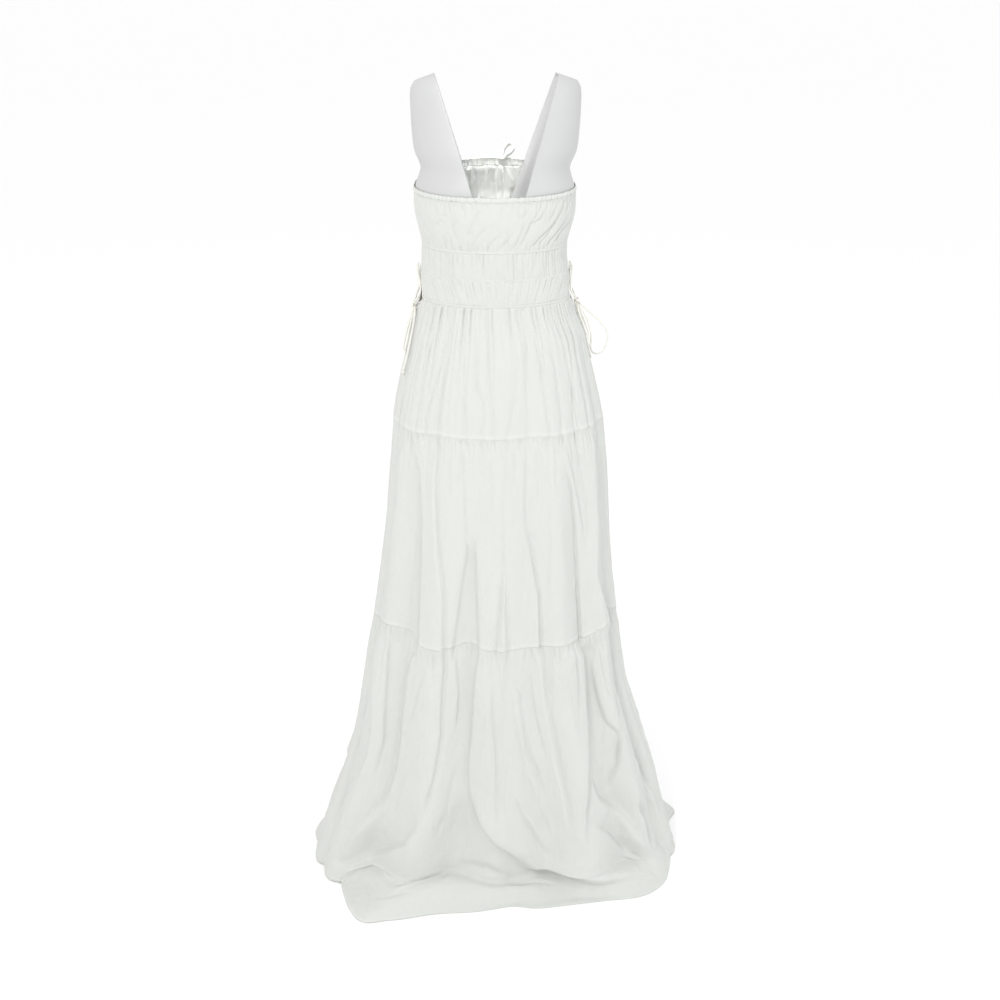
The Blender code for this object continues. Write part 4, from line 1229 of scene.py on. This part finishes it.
def form_skin():
    """The torso's closed skin, with its shoulders sloped down at their ends."""
    heights = np.linspace(FORM_SECTIONS[0][0], FORM_SECTIONS[-1][0], FORM_ROWS)[:, None]
    angles = np.linspace(0, 360, FORM_COLUMNS, endpoint=False)[None, :]
    ring = section_points(FORM_SECTIONS, angles + 0 * heights, heights + 0 * angles)
    share = (ring[..., 2] - SHOULDER_START) / (FORM_SECTIONS[-1][0] - SHOULDER_START)
    out = np.maximum(0, np.abs(ring[..., 0]) - SHOULDER_LEVEL)
    ring[..., 2] -= SHOULDER_SLOPE * out * np.maximum(0, share)
    mesh = bmesh.new()
    verts = [[mesh.verts.new(p) for p in row] for row in ring.tolist()]
    for low, high in zip(verts, verts[1:]):
        for k in range(FORM_COLUMNS):
            following = (k + 1) % FORM_COLUMNS
            mesh.faces.new((low[k], low[following], high[following], high[k]))
    mesh.faces.new(list(reversed(verts[0])))
    mesh.faces.new(verts[-1])
    return mesh_object("form_skin", mesh)


def notch_wedge():
    """The wedge that cuts the neck notch, from front to back."""
    mesh = bmesh.new()
    bmesh.ops.create_cube(mesh, size=1.0)
    for vert in mesh.verts:
        at_top = vert.co.z > 0
        vert.co.x *= 2 * (NOTCH_TOP_HALF if at_top else NOTCH_BOTTOM_HALF)
        vert.co.y *= 0.5
        vert.co.z = NOTCH_TOP if at_top else NOTCH_BOTTOM
    return mesh_object("notch", mesh)


def make_form(shell):
    """The torso's skin, with its neck notch cut through and its edges rounded."""
    torso, cutter = form_skin(), notch_wedge()
    cut = torso.modifiers.new("notch", "BOOLEAN")
    cut.operation = "DIFFERENCE"
    cut.solver = "EXACT"
    cut.object = cutter
    edge = torso.modifiers.new("edge", "BEVEL")
    edge.width = FORM_EDGE
    edge.segments = 3
    edge.limit_method = "ANGLE"
    edge.angle_limit = radians(50)
    bpy.context.view_layer.update()
    depsgraph = bpy.context.evaluated_depsgraph_get()
    final = bpy.data.meshes.new_from_object(torso.evaluated_get(depsgraph))
    torso.modifiers.clear()
    torso.data = final
    bpy.data.objects.remove(cutter, do_unlink=True)
    final.shade_smooth()
    final.set_sharp_from_angle(angle=radians(40))
    final.materials.clear()
    final.materials.append(shell)
    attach(torso, "root")
    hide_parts("form_torso")


# Stage and camera


def make_camera():
    data = bpy.data.cameras.new("camera")
    data.lens = LENS
    data.sensor_width = 36.0
    data.shift_x, data.shift_y = SHIFT_X, SHIFT_Y
    camera = add_object("camera", data)
    turn = radians(CAMERA_AZIMUTH)
    camera.location = (CAMERA_DISTANCE * sin(turn), -CAMERA_DISTANCE * cos(turn), CAMERA_HEIGHT)
    camera.rotation_euler = (radians(90 - CAMERA_PITCH), 0.0, turn)
    bpy.context.scene.camera = camera


def make_lights():
    for name, place, target, size, power, colour, spread in LIGHTS:
        data = bpy.data.lights.new(name, "AREA")
        data.shape = "RECTANGLE"
        data.spread = radians(spread)
        data.size = data.size_y = size
        data.energy = power
        data.color = colour
        light = add_object(name, data)
        light.location = place
        way = Vector(target) - Vector(place)
        light.rotation_euler = way.to_track_quat("-Z", "Y").to_euler()


def make_stage():
    mesh = bmesh.new()
    bmesh.ops.create_grid(mesh, x_segments=1, y_segments=1, size=FLOOR_SIZE)
    floor = mesh_object("floor", mesh)
    floor.location = (0.0, 0.0, -FLOOR_DROP)
    floor.data.materials.append(floor_material())
    world = bpy.data.worlds.new("studio")
    world.use_nodes = True
    background = world.node_tree.nodes["Background"]
    background.inputs["Color"].default_value = (1.0, 1.0, 1.0, 1.0)
    background.inputs["Strength"].default_value = WORLD_STRENGTH
    bpy.context.scene.world = world
    bpy.context.scene.view_settings.view_transform = "Standard"
    make_lights()


def main():
    make_camera()
    cord = cord_material("cream_cord", CREAM)
    make_laces(cord)
    make_bindings(cord)
    voile = cotton_material("cotton_voile", *VOILE)
    lined = cotton_material("cotton_lined", *LINED)
    make_neck_loop(lined)
    for half in ("back", "front"):
        make_casing(half, lined)
        make_bodice(half, lined)
        make_bands(half, lined)
        make_upper_tiers(half, voile)
        make_lowest_tier(half, voile)
    make_form(form_material())
    steel = steel_material()
    for name in ("stand_base", "stand_pole"):
        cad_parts[name].data.materials.clear()
        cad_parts[name].data.materials.append(steel)
    make_stage()


main()
